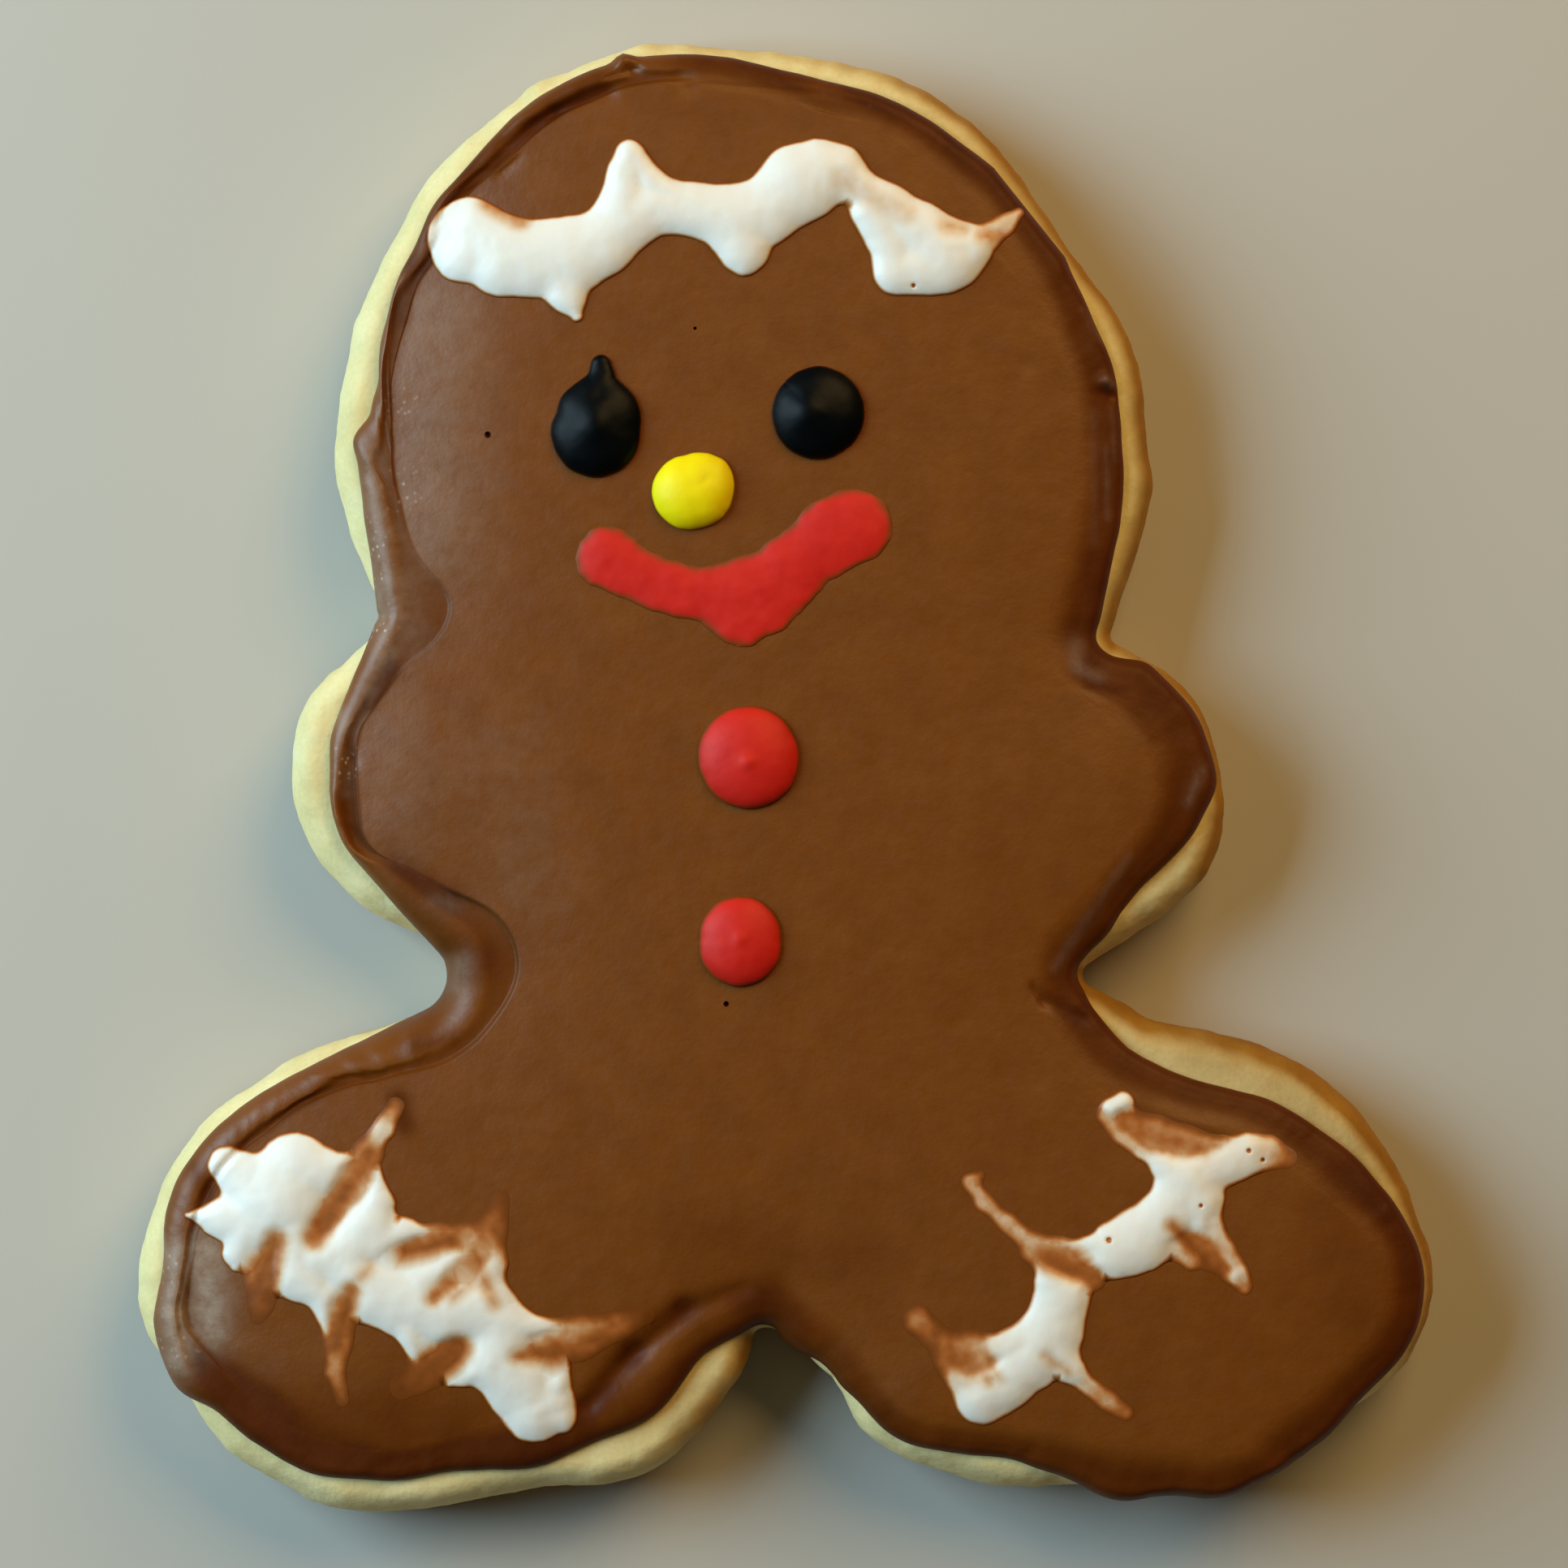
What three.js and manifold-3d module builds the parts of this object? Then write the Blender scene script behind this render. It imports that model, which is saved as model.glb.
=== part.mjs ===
// Gingerbread man biscuit, iced on its face, in millimetres.
// It lies on its back: the origin is on the table under the middle, +X is to the right of the picture it
// makes, +Y runs to the top of the head and +Z comes out of the iced face.
import * as THREE from "three";
import { ConvexGeometry } from "three/addons/geometries/ConvexGeometry.js";
import { mergeVertices } from "three/addons/utils/BufferGeometryUtils.js";
import Module from "manifold-3d";

const wasm = await Module();
wasm.setup();

// Heights above the table.
const BISCUIT_TOP = 7;
const ICING_TOP = 9;

// Points along each round of an outline, and along the straight that leads to the next one.
const ROUND_STEPS = 5;
const STRAIGHT_STEPS = 2;

// The outline as a belt round discs, anticlockwise from the crown. Each row is the disc's centre x and y, its
// radius (below zero where the outline turns inwards round it), the width of bare rim that the icing leaves
// there (below zero where the icing hangs over), and the width of the icing's raised border.
const BELT = [
  // Head, left side.
  [-6.8, 29.9, 17.6, 0.9, 1.7],
  [-4.1, 22.9, 24.4, 1.8, 1.3],
  [-10.6, 21.1, 18.5, 1.3, 1.8],
  // Left neck and arm.
  [-28.4, 10.5, -2, -0.2, 3],
  [-25, 1.9, 6.7, 2.2, 1.6],
  [-22.1, -0.7, 9.5, 2, 1.6],
  // Left waist and leg.
  [-24.7, -12.9, -2.8, -0.3, 3.5],
  [-24.6, -32.6, 16.1, 0.8, 2],
  [-27.5, -32.3, 14.3, 0.8, 2.4],
  [-36.3, -34.1, 5.5, 0.1, 2.2],
  [-26.3, -30.6, 15.6, 0.8, 1.8],
  [-24.4, -37.8, 9.8, 2.2, 1.8],
  [-12.2, -36.2, 8.9, 2.8, 3],
  // Between the legs.
  [-1.4, -36.9, -1.2, 0.5, 2.5],
  [2, -39.7, -1, 0.6, 2.5],
  // Right leg and waist.
  [9.9, -37.2, 7, 0.8, 2.5],
  [17, -28, 17.9, 1.2, 2.5],
  [27.6, -41, 5.5, -0.4, 3],
  [33, -32.8, 8.8, 0.8, 2.4],
  [25, -32.8, 16.3, 2.9, 2.3],
  [24.5, -13.5, -2.5, 2.1, 2.3],
  [19.9, -12.9, -0.8, 0.1, 2.5],
  // Right arm and neck.
  [17.6, -0.9, 10.5, 1.3, 1.8],
  [20.5, 0.6, 7.3, 0.6, 2],
  [21, 8.9, -0.8, 0.2, 2],
  // Head, right side.
  [4.5, 19.1, 18.5, 1.4, 2.2],
  [9.9, 23.3, 12.9, 1.5, 2.4],
  [4.5, 27.5, 15.1, 0.5, 2.2],
  [0.5, 29.1, 17.5, 1.8, 2.2],
];

// Dabs of piped icing, each a row of x, y and radius. Neighbours in a stroke are joined by a tapering ridge.
const HEADBAND = [
  // The band, from the left end to the right peak.
  [
    [-20.3, 35.1, 2.1],
    [-20.8, 34.1, 2.5],
    [-17.3, 33, 2.8],
    [-14, 32.9, 2.7],
    [-9.6, 36.3, 2.1],
    [-6, 36.2, 1.8],
    [-2.9, 35.3, 2.3],
    [1.6, 38.2, 2.6],
    [6.2, 36.8, 1.8],
    [9.6, 34.1, 3],
    [11.3, 33.8, 2.1],
    [14.4, 36, 0.6],
  ],
  // The left peak.
  [
    [-10.7, 36.2, 2.3],
    [-10.3, 40, 0.8],
    [-7.4, 36.6, 1.8],
  ],
  // The three drips.
  [
    [-14.4, 32, 2.2],
    [-13.5, 29.3, 0.6],
  ],
  [
    [-2.9, 34.8, 2],
    [-2.8, 32.8, 0.8],
  ],
  [
    [9.6, 34.1, 3],
    [6.9, 32, 1.4],
    [6.2, 36.8, 1.8],
  ],
];
const LEFT_LEG_TRIM = [
  // The wave, from the outside of the leg to the inside.
  [
    [-36.2, -25.1, 1.2],
    [-33, -27, 3.8],
    [-30.3, -26, 2.5],
  ],
  [
    [-33, -27, 3.8],
    [-33.4, -29.2, 2.8],
    [-30.4, -31.4, 2.4],
    [-28, -29.6, 2.6],
    [-24.6, -33, 2.9],
    [-20.8, -34, 2.9],
    [-18.9, -36.6, 2.2],
    [-16.7, -39.9, 2.8],
    [-14.6, -38.6, 0.9],
  ],
  // The points drawn out above it.
  [
    [-36, -28.3, 1.4],
    [-38.7, -28.1, 0.4],
  ],
  [
    [-27.6, -28.6, 2],
    [-26.4, -25.4, 0.4],
  ],
  [
    [-26, -29.6, 1.6],
    [-22.9, -29.1, 0.4],
  ],
  [
    [-20.6, -32.4, 1.9],
    [-19.5, -30, 0.5],
  ],
  [
    [-18.4, -36, 1.9],
    [-15.2, -35.4, 0.4],
  ],
  // The points drawn out below it.
  [
    [-30.2, -33.2, 1.4],
    [-29.6, -36, 0.4],
  ],
  [
    [-23.4, -35.6, 1.5],
    [-23.7, -37.6, 0.4],
  ],
  [
    [-19.4, -38.2, 1.4],
    [-22, -39.1, 0.4],
  ],
];
const RIGHT_LEG_TRIM = [
  // The wave, from the outside of the leg to the inside.
  [
    [30.4, -24.3, 1.1],
    [27, -25.3, 1.7],
    [25.4, -26.4, 2],
    [25.6, -28.6, 1.9],
    [23.5, -29, 2.2],
    [21.2, -30.2, 1.8],
    [18, -31.4, 1.1],
    [17.4, -33.3, 1.9],
    [16.8, -35.6, 2.2],
    [14.7, -38, 2.2],
    [12.6, -39.6, 2.2],
    [11.4, -37.6, 1.7],
    [8.4, -35, 0.8],
  ],
  // The loop at its top and the ray below the loop.
  [
    [25.2, -25.4, 1.9],
    [23.9, -23.5, 1],
    [21.2, -21.3, 1],
    [21, -22.3, 0.9],
    [24.4, -25, 1.3],
  ],
  [
    [26.4, -29, 1],
    [29.2, -32.5, 0.5],
  ],
  // The strands at its middle and its foot.
  [
    [16.6, -30.8, 0.8],
    [11.5, -26.3, 0.4],
  ],
  [
    [17.5, -37.6, 1.5],
    [21.4, -40.6, 0.4],
  ],
];
const MOUTH = [
  [
    [-11.9, 13.9, 1.8],
    [-9.3, 12.6, 1.4],
    [-6.4, 11.7, 1.5],
    [-3, 11.6, 2],
    [0.3, 13.4, 2.2],
    [4.3, 16.1, 2.5],
  ],
  [
    [-4.4, 11.4, 2],
    [-3.4, 9.2, 1],
    [-1, 11.8, 2.2],
  ],
];
const LEFT_EYE = [
  [
    [-12.3, 22, 2.9],
    [-11.9, 23.9, 2.3],
    [-12, 25.3, 1.2],
    [-12, 26.6, 0.6],
  ],
];

// The belt drawn round its discs, each disc's radius first made smaller by what inset gives for its row.
function beltOutline(inset) {
  const discs = BELT.map(([x, y, radius, rim, border]) => ({
    centre: new THREE.Vector2(x, y),
    radius: radius - inset(rim, border),
  }));
  // The outward direction, as an angle, that two neighbouring discs share along the straight between them.
  const shared = discs.map((from, i) => {
    const to = discs[(i + 1) % discs.length];
    const across = to.centre.clone().sub(from.centre);
    const lean = Math.acos((from.radius - to.radius) / across.length());
    return across.angle() - lean;
  });
  const points = [];
  discs.forEach((disc, i) => {
    const first = shared[(i + discs.length - 1) % discs.length];
    const turn = THREE.MathUtils.euclideanModulo(shared[i] - first + Math.PI, 2 * Math.PI) - Math.PI;
    for (let step = 0; step <= ROUND_STEPS; step += 1) {
      const angle = first + (turn * step) / ROUND_STEPS;
      points.push(new THREE.Vector2(disc.radius, 0).rotateAround(new THREE.Vector2(), angle).add(disc.centre));
    }
    const next = discs[(i + 1) % discs.length];
    const end = new THREE.Vector2(next.radius, 0).rotateAround(new THREE.Vector2(), shared[i]).add(next.centre);
    const start = points.at(-1);
    for (let step = 1; step < STRAIGHT_STEPS; step += 1) {
      points.push(start.clone().lerp(end, step / STRAIGHT_STEPS));
    }
  });
  return points;
}

// A closed body through outlines stacked from the bottom up, each with the same number of points.
function stack(levels) {
  const count = levels[0].outline.length;
  const positions = levels.flatMap(({ outline, z }) => outline.flatMap((point) => [point.x, point.y, z]));
  const faces = [];
  for (let level = 0; level < levels.length - 1; level += 1) {
    for (let i = 0; i < count; i += 1) {
      const a = level * count + i;
      const b = level * count + ((i + 1) % count);
      faces.push(a, b, b + count, a, b + count, a + count);
    }
  }
  const top = (levels.length - 1) * count;
  for (const [a, b, c] of THREE.ShapeUtils.triangulateShape(levels[0].outline, [])) {
    faces.push(a, c, b);
  }
  for (const [a, b, c] of THREE.ShapeUtils.triangulateShape(levels.at(-1).outline, [])) {
    faces.push(top + a, top + b, top + c);
  }
  const geometry = new THREE.BufferGeometry();
  geometry.setAttribute("position", new THREE.Float32BufferAttribute(positions, 3));
  geometry.setIndex(faces);
  geometry.computeVertexNormals();
  return geometry;
}

// The baked biscuit: a small round at the foot, walls that bulge a little, a soft shoulder, and flat faces.
function biscuitShape() {
  const profile = [
    [1.1, 0],
    [0.4, 0.4],
    [0, 1.8],
    [0, 4],
    [0.4, 5.7],
    [1.1, 6.7],
    [1.9, BISCUIT_TOP],
  ];
  return stack(profile.map(([inset, z]) => ({ outline: beltOutline(() => inset), z })));
}

// The brown icing: a piped border with a rounded edge, a groove inside it, and the flat field it was filled to.
// Each row is the share of the border's width in from the edge, a further inset, and the height.
function brownIcingShape() {
  const profile = [
    [0, 0.4, BISCUIT_TOP],
    [0, 0, 7.5],
    [0, 0.1, 8.2],
    [0.15, 0.1, 8.7],
    [0.4, 0, 8.85],
    [0.7, 0, 8.7],
    [0.9, 0, 8.5],
    [1, 0.1, 8.6],
    [1, 0.5, 8.9],
    [1, 1.1, ICING_TOP],
  ];
  return stack(
    profile.map(([share, more, z]) => ({
      outline: beltOutline((rim, border) => rim + share * border + more),
      z,
    })),
  );
}

// The points of one round dab of icing, flat below and domed above, on the brown field.
function dab([x, y, radius]) {
  const height = 0.3 + 0.4 * radius;
  const sides = 14;
  const points = [new THREE.Vector3(x, y, ICING_TOP + height)];
  for (const rise of [0, 0.35, 0.75]) {
    const reach = radius * Math.cos((rise * Math.PI) / 2);
    for (let side = 0; side < sides; side += 1) {
      const angle = (2 * Math.PI * side) / sides;
      points.push(
        new THREE.Vector3(
          x + reach * Math.cos(angle),
          y + reach * Math.sin(angle),
          ICING_TOP + height * Math.sin((rise * Math.PI) / 2),
        ),
      );
    }
  }
  return points;
}

function solid(geometry) {
  const bare = new THREE.BufferGeometry();
  bare.setAttribute("position", geometry.getAttribute("position"));
  const merged = mergeVertices(bare, 1e-4);
  const mesh = new wasm.Mesh({
    numProp: 3,
    vertProperties: merged.getAttribute("position").array,
    triVerts: new Uint32Array(merged.index.array),
  });
  return new wasm.Manifold(mesh);
}

// Strokes of piped icing run together into one piece.
function pipedShape(strokes) {
  const ridges = strokes.flatMap((stroke) =>
    stroke.slice(1).map((next, i) => solid(new ConvexGeometry([...dab(stroke[i]), ...dab(next)]))),
  );
  const mesh = ridges.reduce((whole, ridge) => whole.add(ridge)).getMesh();
  const geometry = new THREE.BufferGeometry();
  geometry.setAttribute("position", new THREE.BufferAttribute(mesh.vertProperties, 3));
  geometry.setIndex(new THREE.BufferAttribute(mesh.triVerts, 1));
  geometry.computeVertexNormals();
  return geometry;
}

// A single round dot of icing that ends in the soft peak left by the nozzle.
function dotShape(x, y, width, length, height) {
  const profile = [
    [0, 0],
    [0.96, 0],
    [1, 0.15],
    [0.95, 0.4],
    [0.78, 0.68],
    [0.5, 0.86],
    [0.2, 0.94],
    [0, 1],
  ];
  const points = profile.map(([reach, rise]) => new THREE.Vector2(reach, rise));
  const geometry = new THREE.LatheGeometry(points, 28);
  geometry.rotateX(Math.PI / 2);
  geometry.scale(width / 2, length / 2, height);
  geometry.translate(x, y, ICING_TOP);
  return geometry;
}

const BISCUIT = new THREE.MeshStandardMaterial({ color: 0xdcc98a, roughness: 0.85, metalness: 0 });
const BROWN_ICING = new THREE.MeshStandardMaterial({ color: 0x70441d, roughness: 0.5, metalness: 0 });
const WHITE_ICING = new THREE.MeshStandardMaterial({ color: 0xe6e4d6, roughness: 0.4, metalness: 0 });
const BLACK_ICING = new THREE.MeshStandardMaterial({ color: 0x0e0f13, roughness: 0.3, metalness: 0 });
const YELLOW_ICING = new THREE.MeshStandardMaterial({ color: 0xe3d60f, roughness: 0.4, metalness: 0 });
const RED_ICING = new THREE.MeshStandardMaterial({ color: 0xb92a1e, roughness: 0.4, metalness: 0 });

const PIECES = [
  ["biscuit", biscuitShape(), BISCUIT],
  ["brown_icing", brownIcingShape(), BROWN_ICING],
  ["white_headband", pipedShape(HEADBAND), WHITE_ICING],
  ["white_trim_left_leg", pipedShape(LEFT_LEG_TRIM), WHITE_ICING],
  ["white_trim_right_leg", pipedShape(RIGHT_LEG_TRIM), WHITE_ICING],
  ["left_eye", pipedShape(LEFT_EYE), BLACK_ICING],
  ["right_eye", dotShape(1.9, 23.2, 6.1, 6, 1.7), BLACK_ICING],
  ["nose", dotShape(-6.2, 18.3, 5.3, 5, 1.6), YELLOW_ICING],
  ["mouth", pipedShape(MOUTH), RED_ICING],
  ["upper_button", dotShape(-2.6, 1.2, 6.8, 6.8, 1.8), RED_ICING],
  ["lower_button", dotShape(-3.1, -10.6, 5.7, 6.3, 1.7), RED_ICING],
];

const gingerbreadMan = new THREE.Group();
for (const [name, geometry, material] of PIECES) {
  const mesh = new THREE.Mesh(geometry, material);
  mesh.name = name;
  gingerbreadMan.add(mesh);
}

export default gingerbreadMan;
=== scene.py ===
"""An iced gingerbread man cookie: a pale rolled biscuit, a coat of brown royal icing with a piped border, and
piped white, black, yellow and red royal icing on top.

The tables are in millimetres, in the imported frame: +X to the right of the face, +Y to the crown, +Z up.
"""

import math

import bpy
import numpy as np
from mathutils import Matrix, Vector, noise
from mathutils.bvhtree import BVHTree
from mathutils.geometry import delaunay_2d_cdt


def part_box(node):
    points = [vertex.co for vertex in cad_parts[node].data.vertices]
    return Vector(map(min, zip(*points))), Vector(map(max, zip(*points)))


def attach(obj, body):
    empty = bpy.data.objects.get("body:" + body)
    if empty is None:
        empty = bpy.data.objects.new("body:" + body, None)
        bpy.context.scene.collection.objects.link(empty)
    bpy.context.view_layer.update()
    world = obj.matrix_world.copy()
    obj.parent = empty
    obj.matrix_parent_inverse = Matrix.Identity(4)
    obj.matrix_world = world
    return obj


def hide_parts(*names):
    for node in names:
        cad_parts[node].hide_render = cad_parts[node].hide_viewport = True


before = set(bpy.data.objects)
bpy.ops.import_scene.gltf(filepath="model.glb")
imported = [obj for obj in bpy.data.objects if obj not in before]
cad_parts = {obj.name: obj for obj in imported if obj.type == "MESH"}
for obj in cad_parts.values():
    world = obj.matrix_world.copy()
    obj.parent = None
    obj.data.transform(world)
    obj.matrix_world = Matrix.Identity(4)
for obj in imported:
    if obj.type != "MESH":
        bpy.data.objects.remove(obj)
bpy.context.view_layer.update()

MM = 0.001
BISCUIT_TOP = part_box("biscuit")[1].z / MM
ICING_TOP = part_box("brown_icing")[1].z / MM

# ----------------------------------------
# The outline: a belt round discs, anticlockwise from the crown. A negative radius is a hollow corner.
# x, y, radius; the rim of bare biscuit; the width of the border, from the icing's edge to the flood; the
# height of its bead; the depth of the groove or shelf behind the bead; the bead's own width; and how far the
# flood sags towards its edge.
BELT = np.array([
    # head, left side
    [-6.8, 29.9, 17.6, 0.9, 1.9, 8.35, 0.26, 1.3, 0.40],
    [-4.1, 22.9, 24.4, 1.8, 1.3, 8.05, 0.35, 0.9, 1.40],
    [-10.6, 21.1, 18.5, 1.3, 2.3, 8.10, 0.30, 1.7, 1.40],
    # left neck and arm
    [-28.4, 10.5, -2.0, -0.2, 3.0, 8.15, 0.10, 1.6, 0.65],
    [-25.0, 1.9, 6.7, 2.2, 1.6, 8.15, 0.35, 0.9, 1.15],
    [-22.1, -0.7, 9.5, 2.0, 1.8, 8.15, 0.60, 0.4, 1.05],
    # left waist and leg
    [-24.7, -12.9, -2.8, -0.3, 3.5, 8.15, 0.08, 2.6, 0.55],
    [-24.6, -32.6, 16.1, 0.8, 2.1, 8.25, 0.25, 1.7, 0.65],
    [-27.5, -32.3, 14.3, 0.8, 2.3, 8.25, 0.25, 1.8, 0.75],
    [-36.3, -34.1, 5.5, 0.1, 2.4, 8.10, 0.25, 1.9, 2.00],
    [-26.3, -30.6, 15.6, 0.8, 2.2, 7.90, 0.00, 1.0, 1.00],
    [-24.4, -37.8, 9.8, 2.2, 2.4, 7.90, 0.00, 1.0, 0.85],
    [-12.2, -36.2, 8.9, 2.8, 3.6, 8.20, 0.00, 2.0, 0.70],
    # between the legs
    [-1.4, -36.9, -1.2, 0.5, 2.8, 8.20, 0.00, 1.8, 0.60],
    [2.0, -39.7, -1.0, 0.6, 2.8, 8.00, 0.00, 1.0, 0.65],
    # right leg
    [9.9, -37.2, 7.0, 0.8, 2.4, 7.95, 0.00, 1.0, 0.60],
    [17.0, -28.0, 17.9, 1.2, 2.4, 7.95, 0.00, 1.0, 0.55],
    [27.6, -41.0, 5.5, -0.4, 3.2, 7.95, 0.00, 1.0, 0.50],
    [33.0, -32.8, 8.8, 0.8, 2.4, 7.95, 0.00, 1.0, 0.50],
    [25.0, -32.8, 16.3, 2.9, 2.6, 7.95, 0.00, 1.0, 0.45],
    # right waist
    [24.5, -13.5, -2.5, 2.1, 3.2, 7.90, 0.00, 1.0, 0.50],
    [19.9, -12.9, -0.8, 0.1, 3.2, 7.90, 0.00, 1.0, 0.50],
    # right arm and neck
    [17.6, -0.9, 10.5, 1.3, 3.4, 7.90, 0.00, 1.0, 0.45],
    [20.5, 0.6, 7.3, 0.6, 4.0, 7.90, 0.00, 1.0, 0.45],
    [21.8, 9.3, -0.9, 0.9, 3.2, 7.95, 0.00, 1.0, 0.50],
    # head, right side
    [4.5, 19.1, 18.5, 1.4, 2.8, 7.90, 0.00, 1.0, 0.50],
    [9.9, 23.3, 12.9, 1.5, 2.8, 7.90, 0.00, 1.0, 0.50],
    [4.5, 27.5, 15.1, 0.5, 2.4, 8.40, 0.00, 1.0, 0.35],
    [0.5, 29.1, 17.5, 1.8, 2.2, 8.65, 0.00, 1.0, 0.22],
])
CENTRE, RADIUS = BELT[:, :2], BELT[:, 2]
RIM, BORDER, CREST, GROOVE, BEAD, SAG = BELT[:, 3:].T

# The line's longest step, and its longest turn in one step.
EDGE_STEP = 0.32
TURN_STEP = math.radians(7)
# How many steps along the line a disc's values are smoothed over.
SMOOTH_STEPS = 31
# The waviness of a line drawn or cut by hand: the size of its waves.
HAND_WAVE = 3.0

# Listed bumps in the lines: x, y, how far it reaches, how far it pushes outwards.
BISCUIT_BUMPS = [
    # crown and left side
    [-16.4, 44.6, 1.0, 0.15],
    [-9.3, 47.0, 1.2, 0.3],
    [-22.0, 39.5, 4.5, 0.6],
    [-28.0, 28.5, 5.0, 0.5],
    [-29.1, 20.5, 4.0, 0.35],
    [-31.4, 0.0, 4.5, 0.65],
    [-41.8, -33.0, 4.0, 0.4],
    [-35.0, -43.5, 4.0, 1.0],
    [-29.8, -46.2, 3.2, 1.1],
    [-11.0, -45.3, 3.4, 0.8],
    # between the legs and right side
    [-3.2, -38.4, 1.8, 0.55],
    [6.4, -43.3, 3.0, 0.35],
    [11.0, -44.5, 3.0, 0.5],
    [14.8, -45.5, 2.6, 0.3],
    [27.4, -4.8, 3.2, 0.5],
    [22.9, 19.0, 4.5, 0.55],
    [20.8, 28.0, 4.5, 0.4],
]
ICING_BUMPS = [
    # crown and left side of the head
    [-10.7, 46.4, 0.7, 0.5],
    [-22.6, 36.3, 2.6, 0.65],
    [-25.0, 32.0, 2.5, 0.3],
    [-27.2, 25.3, 2.2, -0.75],
    [-27.6, 23.4, 0.9, -0.35],
    [-28.1, 21.6, 1.0, 0.35],
    # left foot
    [-41.6, -32.5, 3.6, -0.8],
    [-39.4, -39.6, 1.9, 0.9],
    [-31.0, -44.8, 2.0, 0.3],
    [-22.7, -44.8, 2.0, -0.35],
    [-16.0, -44.6, 3.6, 1.0],
    # between the legs
    [-5.6, -37.4, 2.4, -0.8],
    [0.0, -36.6, 2.0, 0.65],
    [3.2, -39.2, 1.3, 0.3],
    # right foot
    [14.0, -43.8, 2.5, -0.45],
    [21.3, -46.0, 2.6, 1.0],
    [30.0, -46.0, 2.0, -0.45],
    [34.5, -42.6, 2.6, 0.35],
    [36.4, -24.2, 3.0, 0.5],
    [25.5, -19.4, 4.0, -0.55],
    # right waist, arm and neck
    [19.6, -14.6, 1.6, -0.35],
    [19.3, -11.5, 1.6, -0.5],
    [22.2, -8.2, 2.6, -1.0],
    [24.3, -5.6, 2.4, -1.0],
    [27.5, -0.6, 1.9, 0.5],
    [22.9, 7.3, 1.4, 0.6],
    [19.8, 8.7, 0.9, -0.25],
]
FLOOD_BUMPS = [
    [-20.4, 36.8, 2.6, 0.6],
    [-24.0, 32.0, 2.0, 0.35],
    [-25.3, 26.0, 5.0, 0.3],
    [-22.6, 10.8, 2.7, -2.15],
    [-27.9, -4.6, 2.0, 0.7],
    [-18.9, -11.3, 3.6, -1.4],
    [-38.5, -33.0, 4.0, -0.4],
]

# Where the border has run back into the flood: x, y, reach, share.
LEVELLED = [
    [-3.0, 46.5, 5.5, 1.4],
    [-24.0, -45.0, 7.0, 1.0],
    [-34.0, -42.5, 4.0, 1.0],
]

# Where the groove behind the bead has filled up to a flat shelf: x, y, reach, share.
SHELVES = [
    [-27.3, -7.2, 2.6, 0.9],
    [-25.4, -8.4, 3.4, 0.95],
    [-28.0, 6.6, 2.6, 0.8],
]

# ----------------------------------------
# Lines and fields

# Faces that meet at more than this are shaded with a sharp edge.
SHARP_FROM = math.radians(65)


def leaving_angles(radii):
    """Where the belt leaves each disc for the next, as an angle round the disc's centre."""
    across = np.roll(CENTRE, -1, 0) - CENTRE
    reach = np.hypot(*across.T)
    return np.arctan2(across[:, 1], across[:, 0]) - np.arccos((radii - np.roll(radii, -1)) / reach)


def belt_counts():
    """Steps on each disc's arc and on the straight after it."""
    leave = leaving_angles(RADIUS)
    turn = (leave - np.roll(leave, 1) + math.pi) % (2 * math.pi) - math.pi
    counts = []
    for i in range(len(BELT)):
        after = (i + 1) % len(BELT)
        way = np.array([math.cos(leave[i]), math.sin(leave[i])])
        straight = np.hypot(*(CENTRE[after] + RADIUS[after] * way - CENTRE[i] - RADIUS[i] * way))
        arc = abs(turn[i] * RADIUS[i])
        round_steps = math.ceil(max(arc / EDGE_STEP, abs(turn[i]) / TURN_STEP))
        counts.append((round_steps, math.ceil(straight / EDGE_STEP)))
    return counts


def belt(inset):
    """The belt's line with each disc shrunk by its inset, and the number of the disc at each point.

    On a straight the number runs on to the next disc's. Every inset gives as many points, so lines pair up.
    """
    radii = RADIUS - inset
    leave = leaving_angles(radii)
    arrive = np.roll(leave, 1)
    turn = (leave - arrive + math.pi) % (2 * math.pi) - math.pi
    points, places = [], []
    for i, (round_steps, straight_steps) in enumerate(belt_counts()):
        after = (i + 1) % len(BELT)
        angles = arrive[i] + turn[i] * np.linspace(0, 1, round_steps + 1)
        arc = CENTRE[i] + radii[i] * np.column_stack([np.cos(angles), np.sin(angles)])
        way = np.array([math.cos(leave[i]), math.sin(leave[i])])
        ahead = CENTRE[after] + radii[after] * way
        share = (np.arange(1, straight_steps) / straight_steps)[:, None]
        points += [arc, arc[-1] + (ahead - arc[-1]) * share]
        places += [np.full(len(arc), float(i)), i + share[:, 0]]
    return np.concatenate(points), np.concatenate(places)


def along_belt(values, places):
    """A value kept for each disc, spread along the line and smoothed."""
    spread = np.interp(places, np.arange(len(values) + 1), np.append(values, values[0]))
    window = np.hanning(SMOOTH_STEPS)
    half = SMOOTH_STEPS // 2
    padded = np.concatenate([spread[-half:], spread, spread[:half]])
    return np.convolve(padded, window / window.sum(), "valid")


def outward(line):
    """Unit directions square to a closed anticlockwise line, pointing out."""
    along = np.roll(line, -2, 0) - np.roll(line, 2, 0)
    across = np.column_stack([along[:, 1], -along[:, 0]])
    return across / np.hypot(*across.T)[:, None]


def hills(points, table):
    """The sum of round hills: x, y, reach, height."""
    total = np.zeros(len(points))
    for x, y, reach, height in table:
        total += height * np.exp(-((points[:, 0] - x) ** 2 + (points[:, 1] - y) ** 2) / reach ** 2)
    return total


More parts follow.
